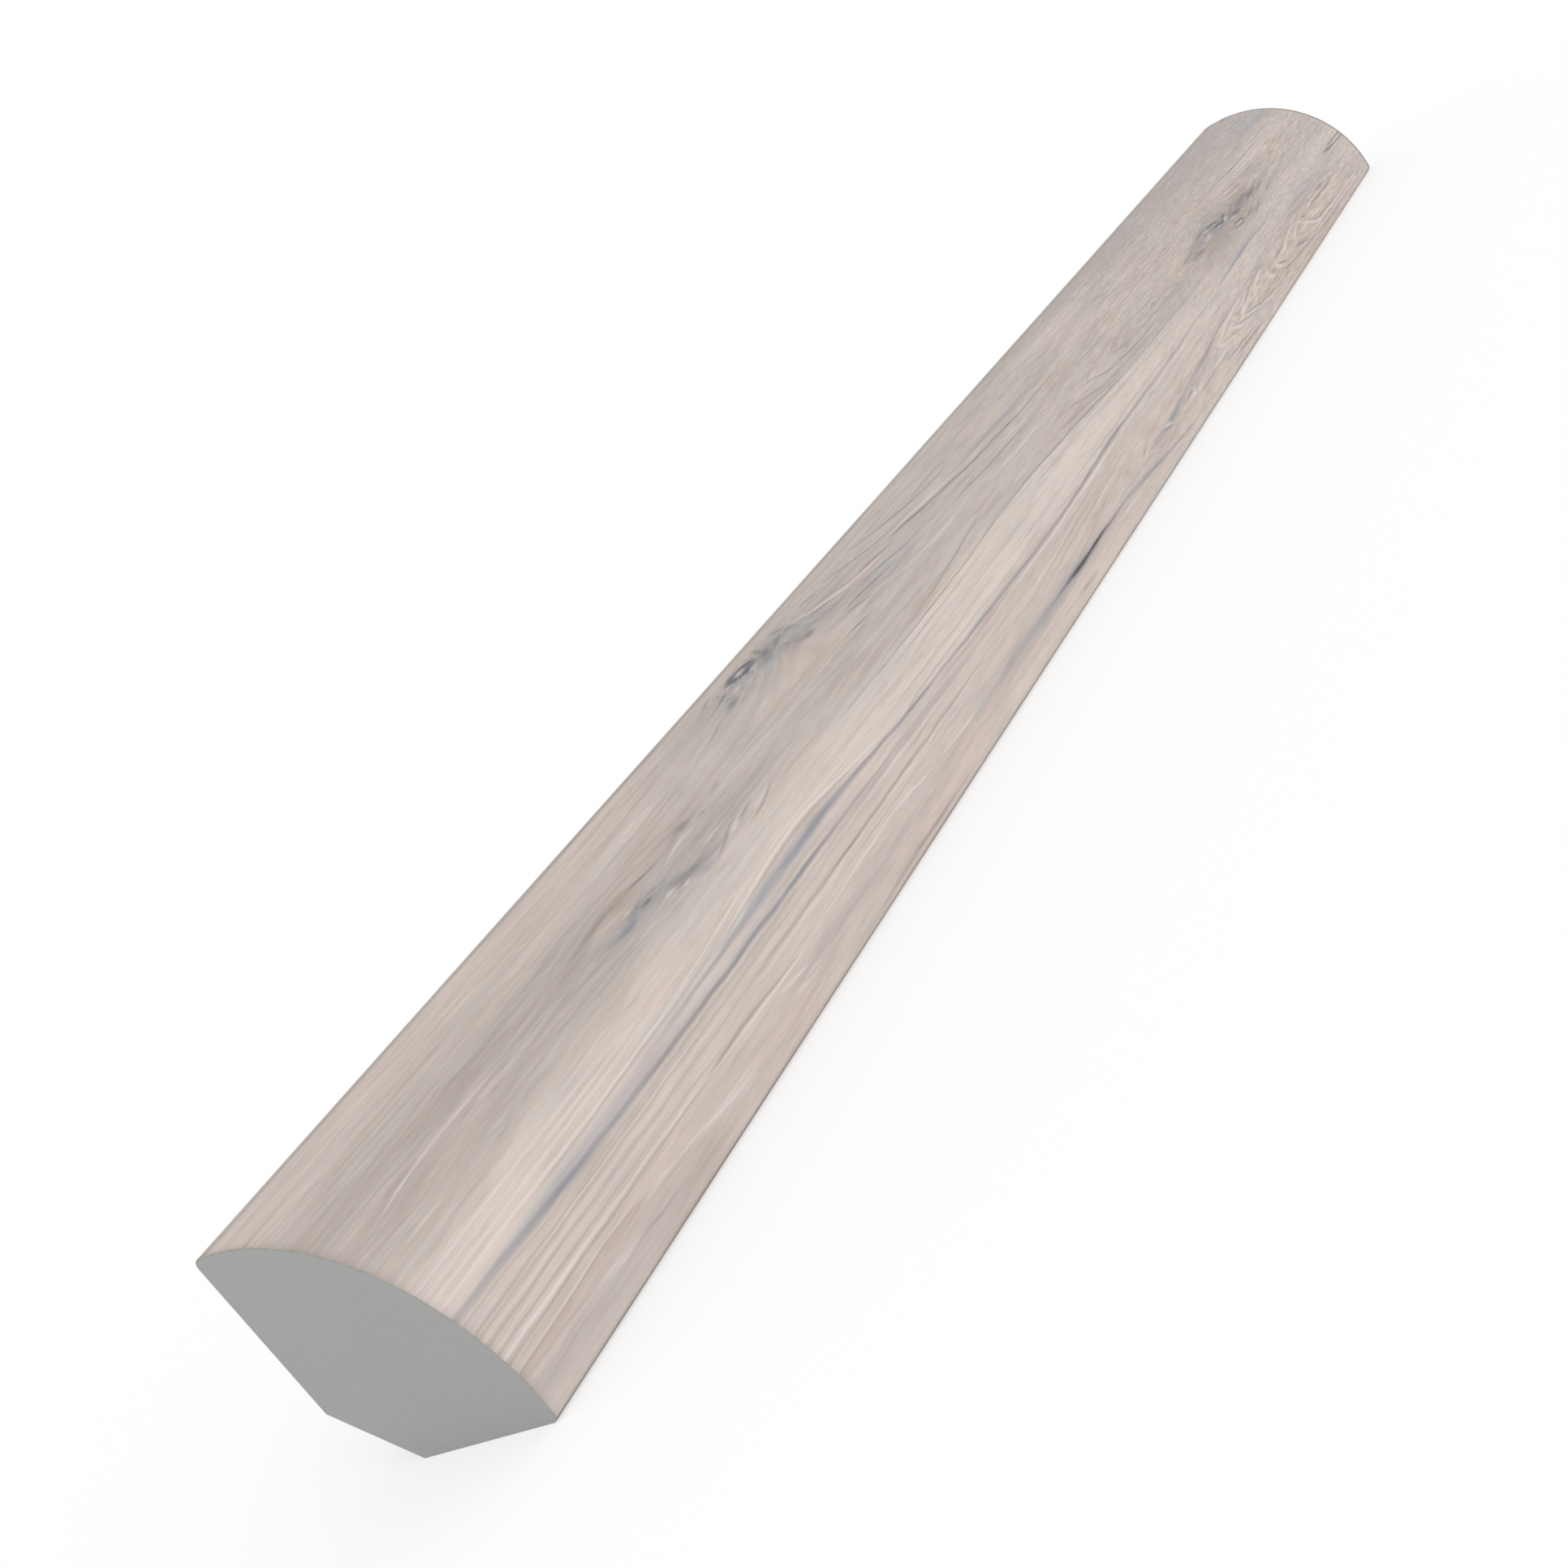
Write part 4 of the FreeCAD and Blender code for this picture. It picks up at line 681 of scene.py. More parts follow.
# The cream band over the long check, as points along: where its upper edge runs, over how many
# millimetres that edge fades, and how pale the band is.
CREAM_TOP = (
    (0, 13), (40, 13), (66, 13.5), (74, 13.35), (112, 13.3), (126, 13.2), (143, 12.45), (154, 11.85),
    (170, 11.4), (190, 11.2),
)
CREAM_FADE = ((0, 1.2), (60, .9), (74, .12), (150, .14), (190, .5))
CREAM_TONE = ((0, .28), (60, .26), (90, .34), (135, .32), (160, .22), (185, .08), (200, 0))
# The upper edge of the darker band beside the floor edge at the near end, as points along.
FLOOR_BAND_TOP = (
    (0, 4.4), (5, 4.35), (9, 4.45), (12, 4.55), (16, 4.15), (20, 3.8), (25, 3.3), (28, 2.9), (31, 2.4),
)
# How the tone falls from the floor edge to the wall edge, as points across: painted light, paler on the side
# that faces the floor, and painted shade, darker on the side that faces the sky.
PAINTED_LIGHT_ACROSS = (
    (0, .3), (1, .3), (3, .2), (5, .1), (9, .1), (13, .02), (16, -.05), (21, -.12), (26, -.14), (28, -.2),
    (31, -.3),
)
# The eye of the knot: the middle of its dark ring, and the ring's half length and half width.
EYE_ALONG, EYE_ACROSS = 77.0, 26.09
EYE_LENGTH, EYE_WIDTH = 1.75, 0.72
# A mark's bell ends at this many of its half widths.
MARK_REACH = 1.7
# Where a mark is fainter than this, it counts as not there.
FAINT = 0.004
# The grain's streaks by name: width, length, seed, detail and roughness of the noise, then its share
# in the grain at the near end and what the far half adds to that share.
STREAKS = {
    "broad": ((1.3, 34.0, 11, 2.0, 0.5), 0.37, -0.12),
    "medium": ((0.5, 11.0, 23, 2.0, 0.6), 0.66, -0.32),
    "fine": ((0.2, 3.6, 37, 2.0, 0.6), 0.43, 0.82),
    "strands": ((0.36, 8.0, 29, 1.0, 0.5), 0.18, -0.03),
    "flecks": ((0.3, 1.7, 31, 1.0, 0.5), 0.11, 0.4),
    "combed": ((0.25, 24.0, 47, 2.0, 0.6), 0.08, 0.66),
    "ruled": ((0.34, 60.0, 41, 1.0, 0.5), 0.16, 0.14),
}


def smooth_step(low, high, value):
    """A cubic ramp from 0 at low to 1 at high."""
    t = np.clip((value - low) / (high - low), 0, 1)
    return t * t * (3 - 2 * t)


def curve(points, places):
    """The value at each place of a line that runs straight from point to point."""
    known, values = zip(*points)
    return np.interp(places, known, values)


def film_path(depth=0.0):
    """The film's section in millimetres, depth below its outside, as across, X and Z arrays.

    The path is floor nose, floor land, face, wall land and wall nose. Its angle turns by a quarter
    circle over each nose and over the face, and stays the same along the two straight lands. The
    point is the centre of the current arc plus its radius along that angle.
    """
    quarter = math.pi / 2
    lengths = [NOSE_RADIUS * quarter, LAND - NOSE_RADIUS, FACE_RADIUS * quarter, LAND - NOSE_RADIUS,
               NOSE_RADIUS * quarter]
    ends = np.concatenate([[0], np.cumsum(lengths)])
    across = np.linspace(0, ends[-1], COLUMNS)
    part = np.clip(np.searchsorted(ends, across, side="right") - 1, 0, 4)
    along_part = across - ends[part]
    radius = np.array([NOSE_RADIUS, 0, FACE_RADIUS, 0, NOSE_RADIUS])[part]
    start = np.radians([-90, 0, 0, 90, 90])[part]
    angle = start + np.where(radius > 0, along_part / np.maximum(radius, 1e-9), 0)
    centre_x = np.array([FRONT - NOSE_RADIUS, FRONT, WALL + LAND, WALL + LAND, WALL + NOSE_RADIUS])[part]
    centre_z = np.array([NOSE_RADIUS, NOSE_RADIUS, LAND, LEG, LEG - NOSE_RADIUS])[part]
    straight = np.where(radius > 0, 0, along_part)
    x = centre_x - straight * np.sin(angle) + (radius - depth) * np.cos(angle)
    z = centre_z + straight * np.cos(angle) + (radius - depth) * np.sin(angle)
    return across, x, z


def row_places():
    """Where the rows lie along the length: closest where the figure is finest.

    The spacing is one over a density, which is 1 plus a bell for each fine place. The rows are even
    steps of the density's running sum.
    """
    fine = np.linspace(0, LENGTH, 4000)
    density = np.ones_like(fine)
    for place, reach, closer in FINE_ROWS:
        density += closer * np.exp(-((fine - place) / reach) ** 2)
    total = np.concatenate([[0], np.cumsum((density[1:] + density[:-1]) / 2)])
    return np.interp(np.linspace(0, total[-1], ROWS), total, fine)


def waves(rng, across, along, wide, long, count=28):
    """Smooth random wander of unit spread: the sum of count plane waves, wide by long millimetres."""
    tilts = rng.normal(0, 1, count)
    steps = rng.normal(0, 1, count)
    phases = rng.uniform(0, 2 * math.pi, count)
    wander = np.zeros_like(across)
    for tilt, step, phase in zip(tilts, steps, phases):
        wander += np.cos(2 * math.pi * (tilt * across / wide + step * along / long) + phase)
    return wander * math.sqrt(2 / count)


def follow(points, along):
    """Across, half width and strength of a drawn line at each row.

    The values run straight from point to point and are then rounded off by a bell average, which is
    1 mm wide on a long line and narrower on a short one.
    """
    points = np.array(points, float)
    rounding = min(1.0, 0.08 * (points[-1, 0] - points[0, 0]))
    step = 0.2
    margin = 20
    fine = np.arange(-margin, LENGTH + margin, step)
    bell = np.exp(-0.5 * (np.arange(-15, 16) * step / rounding) ** 2)
    bell /= bell.sum()
    drawn = [np.interp(fine, points[:, 0], values) for values in points.T[1:]]
    return [np.interp(along, fine, np.convolve(values, bell, mode="same")) for values in drawn]


def draw_haze(strokes, across, rows):
    """Adds up soft strokes. Each is its strength times a bell of its half width about its path."""
    ink = np.zeros_like(across)
    for points in strokes:
        centre, half, strength = (value[:, None] for value in follow(points, rows))
        ink += strength * np.exp(-((across - centre) / half) ** 2)
    return ink


def fits(mark, layer, column):
    """Whether a mark stays four columns clear of each mark in a layer, wherever both are there."""
    centre, reach, strength, _ = mark
    for other, room, weight, _ in layer:
        apart = np.abs(centre - other) > reach + room + 4 * column
        if not np.all(apart | (strength < FAINT) | (weight < FAINT)):
            return False
    return True


def mark_layers(marks, across, rows):
    """Shares the thin marks out over layers, so that in one layer no two of them come near each other.

    A layer holds for each point how far it lies from the nearest mark, counted in that mark's own
    reach, and the mark's strength and ink. The distance is signed, so it runs straight from vertex
    to vertex and the shader can draw a line finer than the mesh.
    """
    column = across[0, 1] - across[0, 0]
    layers = []
    for ink, points in marks:
        centre, half, strength = follow(points, rows)
        mark = (centre, MARK_REACH * half * np.sqrt(1 + np.gradient(centre, rows) ** 2), strength, ink)
        roomy = next((layer for layer in layers if fits(mark, layer, column)), None)
        if roomy is None:
            layers.append([mark])
        else:
            roomy.append(mark)
    return [layer_field(layer, across, column) for layer in layers]


def layer_field(layer, across, column):
    """One layer's distance, strength and ink at each point. Off every mark its strength is 0."""
    beyond = 3.0
    offset = np.full_like(across, beyond)
    amount = np.zeros_like(across)
    tint = np.full_like(across, 0.5)
    for centre, reach, strength, ink in layer:
        sideways = across - centre[:, None]
        distance = sideways / reach[:, None]
        own = (np.abs(distance) < np.abs(offset)) & (strength > FAINT)[:, None]
        near = np.abs(sideways) < reach[:, None] + 1.1 * column
        offset = np.where(own, distance, offset)
        tint = np.where(own, ink, tint)
        amount = np.where(own, np.where(near, strength[:, None], 0), amount)
    return offset, amount, tint


def spread_areas(areas, across, along):
    """Adds up soft areas, each a bell with its own half length and half width."""
    total = np.zeros_like(across)
    for place, height, long, wide, strength in areas:
        total += strength * np.exp(-((along - place) / long) ** 2 - ((across - height) / wide) ** 2)
    return total


def fibre_height(across, along):
    """The height across that each fibre has where nothing bends it.

    Bells lift or lower the fibres over and under the knots. At the eye they swing up and fall back,
    by exponentials of the distance along from it. Slow ramps turn them aside elsewhere. Taking these
    lifts away from the height gives the fibre.
    """
    lift = spread_areas(FIBRE_BENDS, across, along)
    past_eye = along - 81
    away = np.sqrt(past_eye ** 2 + 9) - 3
    before = 3.2 * np.exp(-away / 7)
    after = 1.3 * np.exp(-away / 7) + 1.9 * np.exp(-away / 30)
    over_eye = 1 - 0.6 * smooth_step(25.5, 29, across)
    lift += np.where(past_eye > 0, after, before) * smooth_step(18, 24, across) * over_eye
    cream_rim = np.exp(-((across - 12.8) / 2) ** 2)
    lift -= 1.1 * smooth_step(134, 166, along) * cream_rim
    floor_band = np.exp(-((across - 6) / 1.4) ** 2)
    lift += 0.9 * smooth_step(102, 138, along) * floor_band
    lift -= 0.02 * (along - 30) * smooth_step(70, 20, along) * smooth_step(14, 24, across)
    lift -= 0.8 * smooth_step(200, 262, along) * smooth_step(14, 22, across)
    return across - lift


def film_tone(across, along):
    """How pale the print is: the fall from edge to edge, the cream band, the floor band and the areas."""
    from_top = (across - curve(CREAM_TOP, along)) / curve(CREAM_FADE, along)
    cream = curve(CREAM_TONE, along) * smooth_step(8.2, 9.6, across) * (1 - smooth_step(-1, 1, from_top))
    over_band = smooth_step(-0.09, 0.09, across - curve(FLOOR_BAND_TOP, along))
    floor_band = 0.2 * (1 - over_band) * (1 - smooth_step(24, 31, along))
    return cream - floor_band + spread_areas(TONE_AREAS, across, along)


def film_figure(across_places, rows):
    """The printed figure at the film's vertices, as three numbers for each attribute's name.

    Place is across, along and the fibre. Tone is how pale, cool and pink the print is, and its paleness
    also holds painted light and shade across the face. Haze is the blue one, the dark one and the
    speckle. The thin marks follow, a layer to each name.
    """
    rng = np.random.default_rng(7)
    across, along = np.meshgrid(across_places, rows)
    wavy = across + 0.02 * waves(rng, across, along, 2.5, 9) + 0.012 * waves(rng, across, along, 0.9, 3.5)

    # The curve across adds painted light on the floor-facing side and painted shade on the sky-facing side.
    tone = film_tone(wavy, along) + curve(PAINTED_LIGHT_ACROSS, across)
    speckle = np.clip(spread_areas(SPECKLE_AREAS, wavy, along), 0, 1)
    figure = {
        "place": (across, along, fibre_height(wavy, along)),
        "tone": (tone, spread_areas(COOL_AREAS, wavy, along), spread_areas(PINK_AREAS, wavy, along)),
        "haze": (draw_haze(BLUE_HAZE, wavy, rows), draw_haze(DARK_HAZE, wavy, rows), speckle),
    }
    for number, layer in enumerate(mark_layers(MARKS, wavy, rows)):
        figure[f"marks_{number}"] = layer
    return figure


def mesh_piece(name, vertices, faces, materials, faces_finish, smooth, body, node):
    """A mesh object from arrays in millimetres, tied to its CAD body, node and material slot."""
    mesh = bpy.data.meshes.new(name)
    mesh.from_pydata((vertices * MM).tolist(), [], faces)
    for material in materials:
        mesh.materials.append(material)
    mesh.polygons.foreach_set("material_index", np.asarray(faces_finish, np.int32))
    mesh.polygons.foreach_set("use_smooth", np.asarray(smooth, bool))
    mesh.update()
    piece = bpy.data.objects.new(name, mesh)
    bpy.context.scene.collection.objects.link(piece)
    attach(piece, body)
    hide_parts(node)
    return piece


def make_film():
    """The film: its printed outside is the path carried along Y, on a grid of ROWS by COLUMNS.

    Its back is the same path one film thickness further in, and strips close both cut ends and
    both long edges.
    """
    across, x, z = film_path()
    inner_x, inner_z = film_path(FILM_THICKNESS)[1:]
    along = row_places()
    grid_x, grid_y = np.meshgrid(x, NEAR_END + along)
    outside = np.stack([grid_x, grid_y, np.broadcast_to(z, grid_x.shape)], -1).reshape(-1, 3)
    back = [np.stack([inner_x, np.full(COLUMNS, NEAR_END + place), inner_z], -1) for place in (0, LENGTH)]
    vertices = np.concatenate([outside, *back])

    index = np.arange(ROWS * COLUMNS).reshape(ROWS, COLUMNS)
    near = ROWS * COLUMNS + np.arange(COLUMNS)
    far = near + COLUMNS
    printed = np.stack([index[:-1, :-1], index[1:, :-1], index[1:, 1:], index[:-1, 1:]], -1).reshape(-1, 4)
    bonded = np.stack([near[:-1], near[1:], far[1:], far[:-1]], -1)
    near_cut = np.stack([index[0, :-1], index[0, 1:], near[1:], near[:-1]], -1)
    far_cut = np.stack([index[-1, 1:], index[-1, :-1], far[:-1], far[1:]], -1)
    floor_edge = np.array([near[0], far[0], *index[::-1, 0]])
    wall_edge = np.array([*index[:, -1], far[-1], near[-1]])
    quads = np.concatenate([printed, bonded, near_cut, far_cut]).tolist()
    faces = quads + [floor_edge.tolist(), wall_edge.tolist()]

    finish = np.ones(len(faces), int)
    finish[:len(printed)] = 0
    figure = film_figure(across, along)
    layers = sum(name.startswith("marks_") for name in figure)
    film = mesh_piece("printed_film", vertices, faces, [oak_print(layers), film_edge()], finish, finish == 0,
                      "root", "decor_film")
    for name, parts in figure.items():
        values = np.zeros((len(vertices), 3), np.float32)
        values[:ROWS * COLUMNS] = np.stack([part.ravel() for part in parts], -1)
        attribute = film.data.attributes.new(name, "FLOAT_VECTOR", "POINT")
        attribute.data.foreach_set("vector", values.ravel())
    return film


def make_core(flat_finish, sawn_finish):
    """The core: its section is the film's inner path, closed by the two flats and the chamfer
    between them, and it is carried along Y from one cut end to the other."""
    x, z = film_path(FILM_THICKNESS)[1:]
    back = [(WALL, LEG - NOSE_RADIUS), (WALL, BACK_CHAMFER), (WALL + BACK_CHAMFER, 0),
            (FRONT - NOSE_RADIUS, 0)]
    x, z = np.concatenate([np.stack([x, z], -1), back]).T
    count = len(x)
    ends = [np.stack([x, np.full(count, NEAR_END + place), z], -1) for place in (0, LENGTH)]
    index = np.arange(count)
    follower = np.roll(index, -1)
    sides = np.stack([index, index + count, follower + count, follower], -1).tolist()
    faces = sides + [index.tolist(), (index[::-1] + count).tolist()]
    finish = np.zeros(len(faces), int)
    finish[-2:] = 1
    return mesh_piece("grey_core", np.concatenate(ends), faces, [flat_finish, sawn_finish], finish,
                      np.zeros(len(faces), bool), "root", "core")


class Signal:
    """A shader socket in a Python expression: each operator adds a Math node."""

    def __init__(self, finish, socket):
        self.finish = finish
        self.socket = socket

    def math(self, operation, *terms, clamp=False):
        """A Math node over the terms, or over this value alone."""
        return self.finish.node("ShaderNodeMath", {"operation": operation, "use_clamp": clamp},
                                dict(enumerate(terms or [self])))

    def __add__(self, other):
        return self.math("ADD", self, other)

    def __radd__(self, other):
        return self.math("ADD", other, self)

    def __sub__(self, other):
        return self.math("SUBTRACT", self, other)

    def __rsub__(self, other):
        return self.math("SUBTRACT", other, self)

    def __mul__(self, other):
        return self.math("MULTIPLY", self, other)

    def __rmul__(self, other):
        return self.math("MULTIPLY", other, self)

    def __abs__(self):
        return self.math("ABSOLUTE", self)

    def clamped(self):
        """The value kept between 0 and 1."""
        return self.math("ADD", self, 0.0, clamp=True)

    def bell(self):
        """1 at nought and 0 from 1 on: the square of one less the value's square."""
        rest = (1.0 - self * self).clamped()
        return rest * rest


class Finish:
    """A material, with short ways to add nodes to it."""

    def __init__(self, name):
        self.material = bpy.data.materials.new(name)
        self.material.use_nodes = True
        self.tree = self.material.node_tree
        self.tree.nodes.clear()

    def node(self, kind, settings=None, sockets=None, output=0):
        """Adds any node: its settings are set first, then its sockets get their values or links."""
        node = self.tree.nodes.new(kind)
        for name, value in (settings or {}).items():
            setattr(node, name, value)
        for name, value in (sockets or {}).items():
            if isinstance(value, Signal):
                self.tree.links.new(value.socket, node.inputs[name])
            else:
                node.inputs[name].default_value = value
        return Signal(self, node.outputs[output])

    def parts(self, attribute):
        """The three numbers of a vector attribute of the piece."""
        vector = self.node("ShaderNodeAttribute", {"attribute_name": attribute}, output="Vector")
        return [self.node("ShaderNodeSeparateXYZ", sockets={0: vector}, output=i) for i in range(3)]

    def vector(self, x, y, z):
        """A vector of three numbers."""
        return self.node("ShaderNodeCombineXYZ", sockets={0: x, 1: y, 2: z})

    def noise(self, place, wide, long, seed, detail=1.0, roughness=0.5):
        """Noise about nought, wide by long millimetres from one streak to the next."""
        spot = self.node("ShaderNodeVectorMath", {"operation": "MULTIPLY_ADD"},
                         {0: place, 1: (1 / wide, 1 / long, 1.0), 2: (0.0, 0.0, float(seed))})
        return self.node("ShaderNodeTexNoise", {"noise_dimensions": "3D"},
                         {"Vector": spot, "Scale": 1.0, "Detail": detail, "Roughness": roughness}) - 0.5

    def ridge(self, noise, sharpness):
        """Thin lines where the noise crosses nought, 1 in their middle and 0 beside them."""
        return (1.0 - abs(noise) * sharpness).clamped()

    def blend(self, factor, first, second):
        """The first colour where factor is 0 and the second where it is 1."""
        return self.node("ShaderNodeMix", {"data_type": "RGBA", "clamp_factor": True},
                         {0: factor, 6: first, 7: second}, output=2)

    def ramp(self, value, stops):
        """The colour that value has on a ramp of stops, each a place from 0 to 1 and a colour."""
        signal = self.node("ShaderNodeValToRGB", sockets={0: value})
        points = signal.socket.node.color_ramp.elements
        for point, (place, shade) in zip((points[0], points[1]), (stops[0], stops[-1])):
            point.position = place
            point.color = shade
        for place, shade in stops[1:-1]:
            points.new(place).color = shade
        return signal

    def finish_with(self, shader):
        """Gives the shader to the material's output."""
        output = self.tree.nodes.new("ShaderNodeOutputMaterial")
        self.tree.links.new(shader.socket, output.inputs["Surface"])
        return self.material

    def surface(self, shade, roughness, normal, specular=0.3):
        """Ends the material in a plain surface of this colour, roughness and bump."""
        return self.finish_with(self.node("ShaderNodeBsdfPrincipled", sockets={
            "Base Color": shade, "Roughness": roughness, "Normal": normal, "Specular IOR Level": specular}))


def colour(red, green, blue):
    """A screen colour of 0 to 255 as the linear colour that Blender's sockets hold."""
    def linear(value):
        value /= 255
        return value / 12.92 if value <= 0.04045 else ((value + 0.055) / 1.055) ** 2.4
    return (linear(red), linear(green), linear(blue), 1.0)


class OakPrint(Finish):
    """The printed oak: its figure's numbers, and the noises drawn out along its fibre."""

    def __init__(self):
        super().__init__("oak_print")
        self.across, self.along, fibre = self.parts("place")
        self.tone, self.cool, self.pink = self.parts("tone")
        self.blue_haze, self.dark_haze, self.speckle = self.parts("haze")
        # 0 up to 110 mm along, and from there up to 1 in the far half, where the grain is finer.
        self.far = ((self.along - 110.0) * 0.011).clamped()

        flat = self.vector(fibre, self.along, 0.0)
        slow = self.noise(flat, 3.0, 16.0, 3, detail=2.0) * (0.5 - self.far * 0.12)
        quick = self.noise(flat, 1.2, 5.0, 5) * (0.24 - self.far * 0.12)
        self.lay = self.vector(fibre + slow + quick, self.along, 0.0)
        self.streaks = {name: self.noise(self.lay, *size) for name, (size, _, _) in STREAKS.items()}
        self.patches = self.noise(self.lay, 2.4, 12.0, 61)
        self.blots = self.noise(self.lay, 0.45, 1.3, 71, detail=2.0, roughness=0.6)

    def grain(self):
        """The streaks added up by their shares, less dark threads and with pale hairs, in patches."""
        threads = self.ridge(self.noise(self.lay, 0.8, 16.0, 53, detail=1.0), 9.0)
        hairs = self.ridge(self.noise(self.lay, 0.7, 12.0, 57, detail=1.0), 9.0)
        grain = hairs * (self.patches * -3.0 + 0.3).clamped() * 0.12
        grain = grain - threads * (self.patches * 3.0 + 0.35).clamped() * 0.16
        for name, (_, near_share, far_share) in STREAKS.items():
            grain = grain + self.streaks[name] * (self.far * far_share + near_share)
        return grain

    def tinted(self, level):
        """The ground: a warm, a grey and a rosy greige, each from dark to pale by the level."""
        chill = (self.cool + self.noise(self.lay, 0.9, 18.0, 83, detail=2.0) * 2.4 + 0.28).clamped()
        blush = (self.pink + self.noise(self.lay, 0.7, 22.0, 97, detail=2.0) * 2.8 + 0.12).clamped()
        warm = self.blend(level, colour(172, 159, 150), colour(219, 207, 197))
        grey = self.blend(level, colour(163, 158, 155), colour(210, 204, 200))
        rosy = self.blend(level, colour(177, 158, 151), colour(226, 209, 199))
        return self.blend(blush * 0.8, self.blend(chill, warm, grey), rosy)

    def shaded(self, shade):
        """Lays the blue haze, the dark haze, the specks of the knots and the eye's ring over the shade."""
        fine = self.streaks["fine"]
        shade = self.blend(self.blue_haze * (fine * 1.5 + 0.8), shade, colour(162, 161, 168))
        shade = self.blend(self.dark_haze * (self.blots * 2.4 + 0.85), shade, colour(134, 136, 141))
        specks = (self.blots * self.speckle * -3.4 - 0.15).clamped() * 0.8
        shade = self.blend(specks, shade, colour(112, 112, 116))
        u = (self.along - EYE_ALONG) * (1 / EYE_LENGTH)
        v = (self.across - EYE_ACROSS) * (1 / EYE_WIDTH)
        from_middle = (u * u + v * v).math("SQRT") + self.blots * 1.4
        ring = ((from_middle - 1.0) * 1.7).bell() * (fine * 3.2 + self.blots * 2.4 + 0.8)
        return self.blend(ring, shade, colour(82, 87, 97))

    def marked(self, shade, layers):
        """Lays the thin marks over the shade, layer by layer, each in its ink and worn here and there."""
        inks = ((PALE, colour(226, 219, 213)), (CREAM, colour(217, 202, 190)), (BLUE, colour(139, 141, 151)),
                (BROWN, colour(170, 151, 141)), (DARK, colour(116, 113, 114)), (SLATE, colour(92, 98, 110)),
                (BLACK, colour(48, 50, 60)))
        worn = self.streaks["medium"] * 1.6 + 0.82
        for number in range(layers):
            offset, strength, ink = self.parts(f"marks_{number}")
            shade = self.blend(offset.bell() * strength * worn, shade, self.ramp(ink, inks))
        return shade

    def rimmed_and_edge_shaded(self, shade):
        """Lays a brown rim over the shade along both long edges and both cut ends: painted shade where the
        long edges turn away at the noses and a painted dark line along the far end, and the film's own cut
        edge at the near end.
        """
        # Painted shade along the floor edge and the wall edge, where the noses turn away; the near rim alone
        # is the film's cut edge.
        floor_edge_shade = ((0.82 - self.across) * 6.0).clamped()
        past_wall = self.across - 29.16 + self.along * 0.0026
        wall_edge_shade = (past_wall * 3.0).clamped() * (1.0 - ((past_wall - 0.45) * 1.2).clamped() * 0.75)
        near_rim = ((0.14 - self.along) * 20.0).clamped() * (self.patches * 4.0 + 0.3).clamped()
        # A painted dark line along the far end.
        far_edge_shade = ((self.along - 259.3) * 4.0).clamped()
        rims_and_edge_shade = (floor_edge_shade * 0.6 + wall_edge_shade * 0.5 + near_rim * 0.2 + far_edge_shade * 0.7).clamped()
        return self.blend(rims_and_edge_shade, shade, colour(134, 125, 116))


def oak_print(layers):
    """Whitewashed oak, printed matt, with its marks in so many layers."""
    oak = OakPrint()
    grain = oak.grain()
    level = 0.5 + oak.tone + grain + oak.blots * oak.speckle * 1.8 - oak.dark_haze * 0.2
    # The rims laid last are mostly painted shade along the film's edges.
    shade = oak.rimmed_and_edge_shaded(oak.marked(oak.shaded(oak.tinted(level)), layers))
    bump = oak.node("ShaderNodeBump", sockets={"Strength": 0.25, "Distance": 0.00004, "Height": grain})
    return oak.surface(shade, 0.56 - grain * 0.2, bump, specular=0.25)


def film_edge():
    """The film where it is cut through: the grey of the core, greenish, with brown flecks of the print."""
    edge = Finish("film_edge")
    place = edge.node("ShaderNodeTexCoord", output="Object")
    worn = edge.node("ShaderNodeTexNoise", sockets={"Vector": place, "Scale": 1400.0, "Detail": 2.0})
    shade = edge.blend((worn * 2.4 - 0.4).clamped(), colour(144, 137, 126), colour(164, 164, 158))
    bump = edge.node("ShaderNodeBump", sockets={"Strength": 0.2, "Distance": 0.00002, "Height": worn})
    return edge.surface(shade, 0.7, bump)


def core_shade(core, place):
    """Grey with a faint drift between a bluish and an olive tint, and the fine noise it is made with."""
    drift = core.node("ShaderNodeTexNoise", sockets={"Vector": place, "Scale": 160.0, "Detail": 2.0})
    fine = core.node("ShaderNodeTexNoise", sockets={"Vector": place, "Scale": 1500.0, "Detail": 3.0})
    shade = core.blend((drift * 2.0 - 0.5).clamped(), colour(167, 164, 168), colour(169, 167, 166))
    return core.blend((fine * 1.6 - 0.5).clamped() * 0.5, shade, colour(160, 158, 160)), fine


def drawn_out(core, place, stretch, detail):
    """Noise over Object coordinates, drawn out into lines by its stretch along each axis."""
    lines = core.node("ShaderNodeVectorMath", {"operation": "MULTIPLY"}, {0: place, 1: stretch})
    return core.node("ShaderNodeTexNoise", sockets={"Vector": lines, "Scale": 1.0, "Detail": detail})


def sawn_core():
    """The cut end: the grey of the core, greener in a band under the film, with faint marks of a fine saw."""
    core = Finish("sawn_core")
    place = core.node("ShaderNodeTexCoord", output="Object")
    shade, fine = core_shade(core, place)
    face_centre = ((WALL + LAND) * MM, 0.0, LAND * MM)
    off_centre = core.node("ShaderNodeVectorMath", {"operation": "SUBTRACT"}, {0: place, 1: face_centre})
    x, z = (core.node("ShaderNodeSeparateXYZ", sockets={0: off_centre}, output=i) for i in (0, 2))
    band = 1.3
    under_film = ((x * x + z * z).math("SQRT") * (1 / MM) - (FACE_RADIUS - band)).clamped()
    shade = core.blend(under_film * 0.6, shade, colour(166, 168, 163))
    marks = drawn_out(core, place, (500.0, 0.0, 9000.0), 1.0)
    bump = core.node("ShaderNodeBump", sockets={"Strength": 0.3, "Distance": 0.00003, "Height": marks + fine})
    return core.surface(shade, 0.8, bump, specular=0.2)


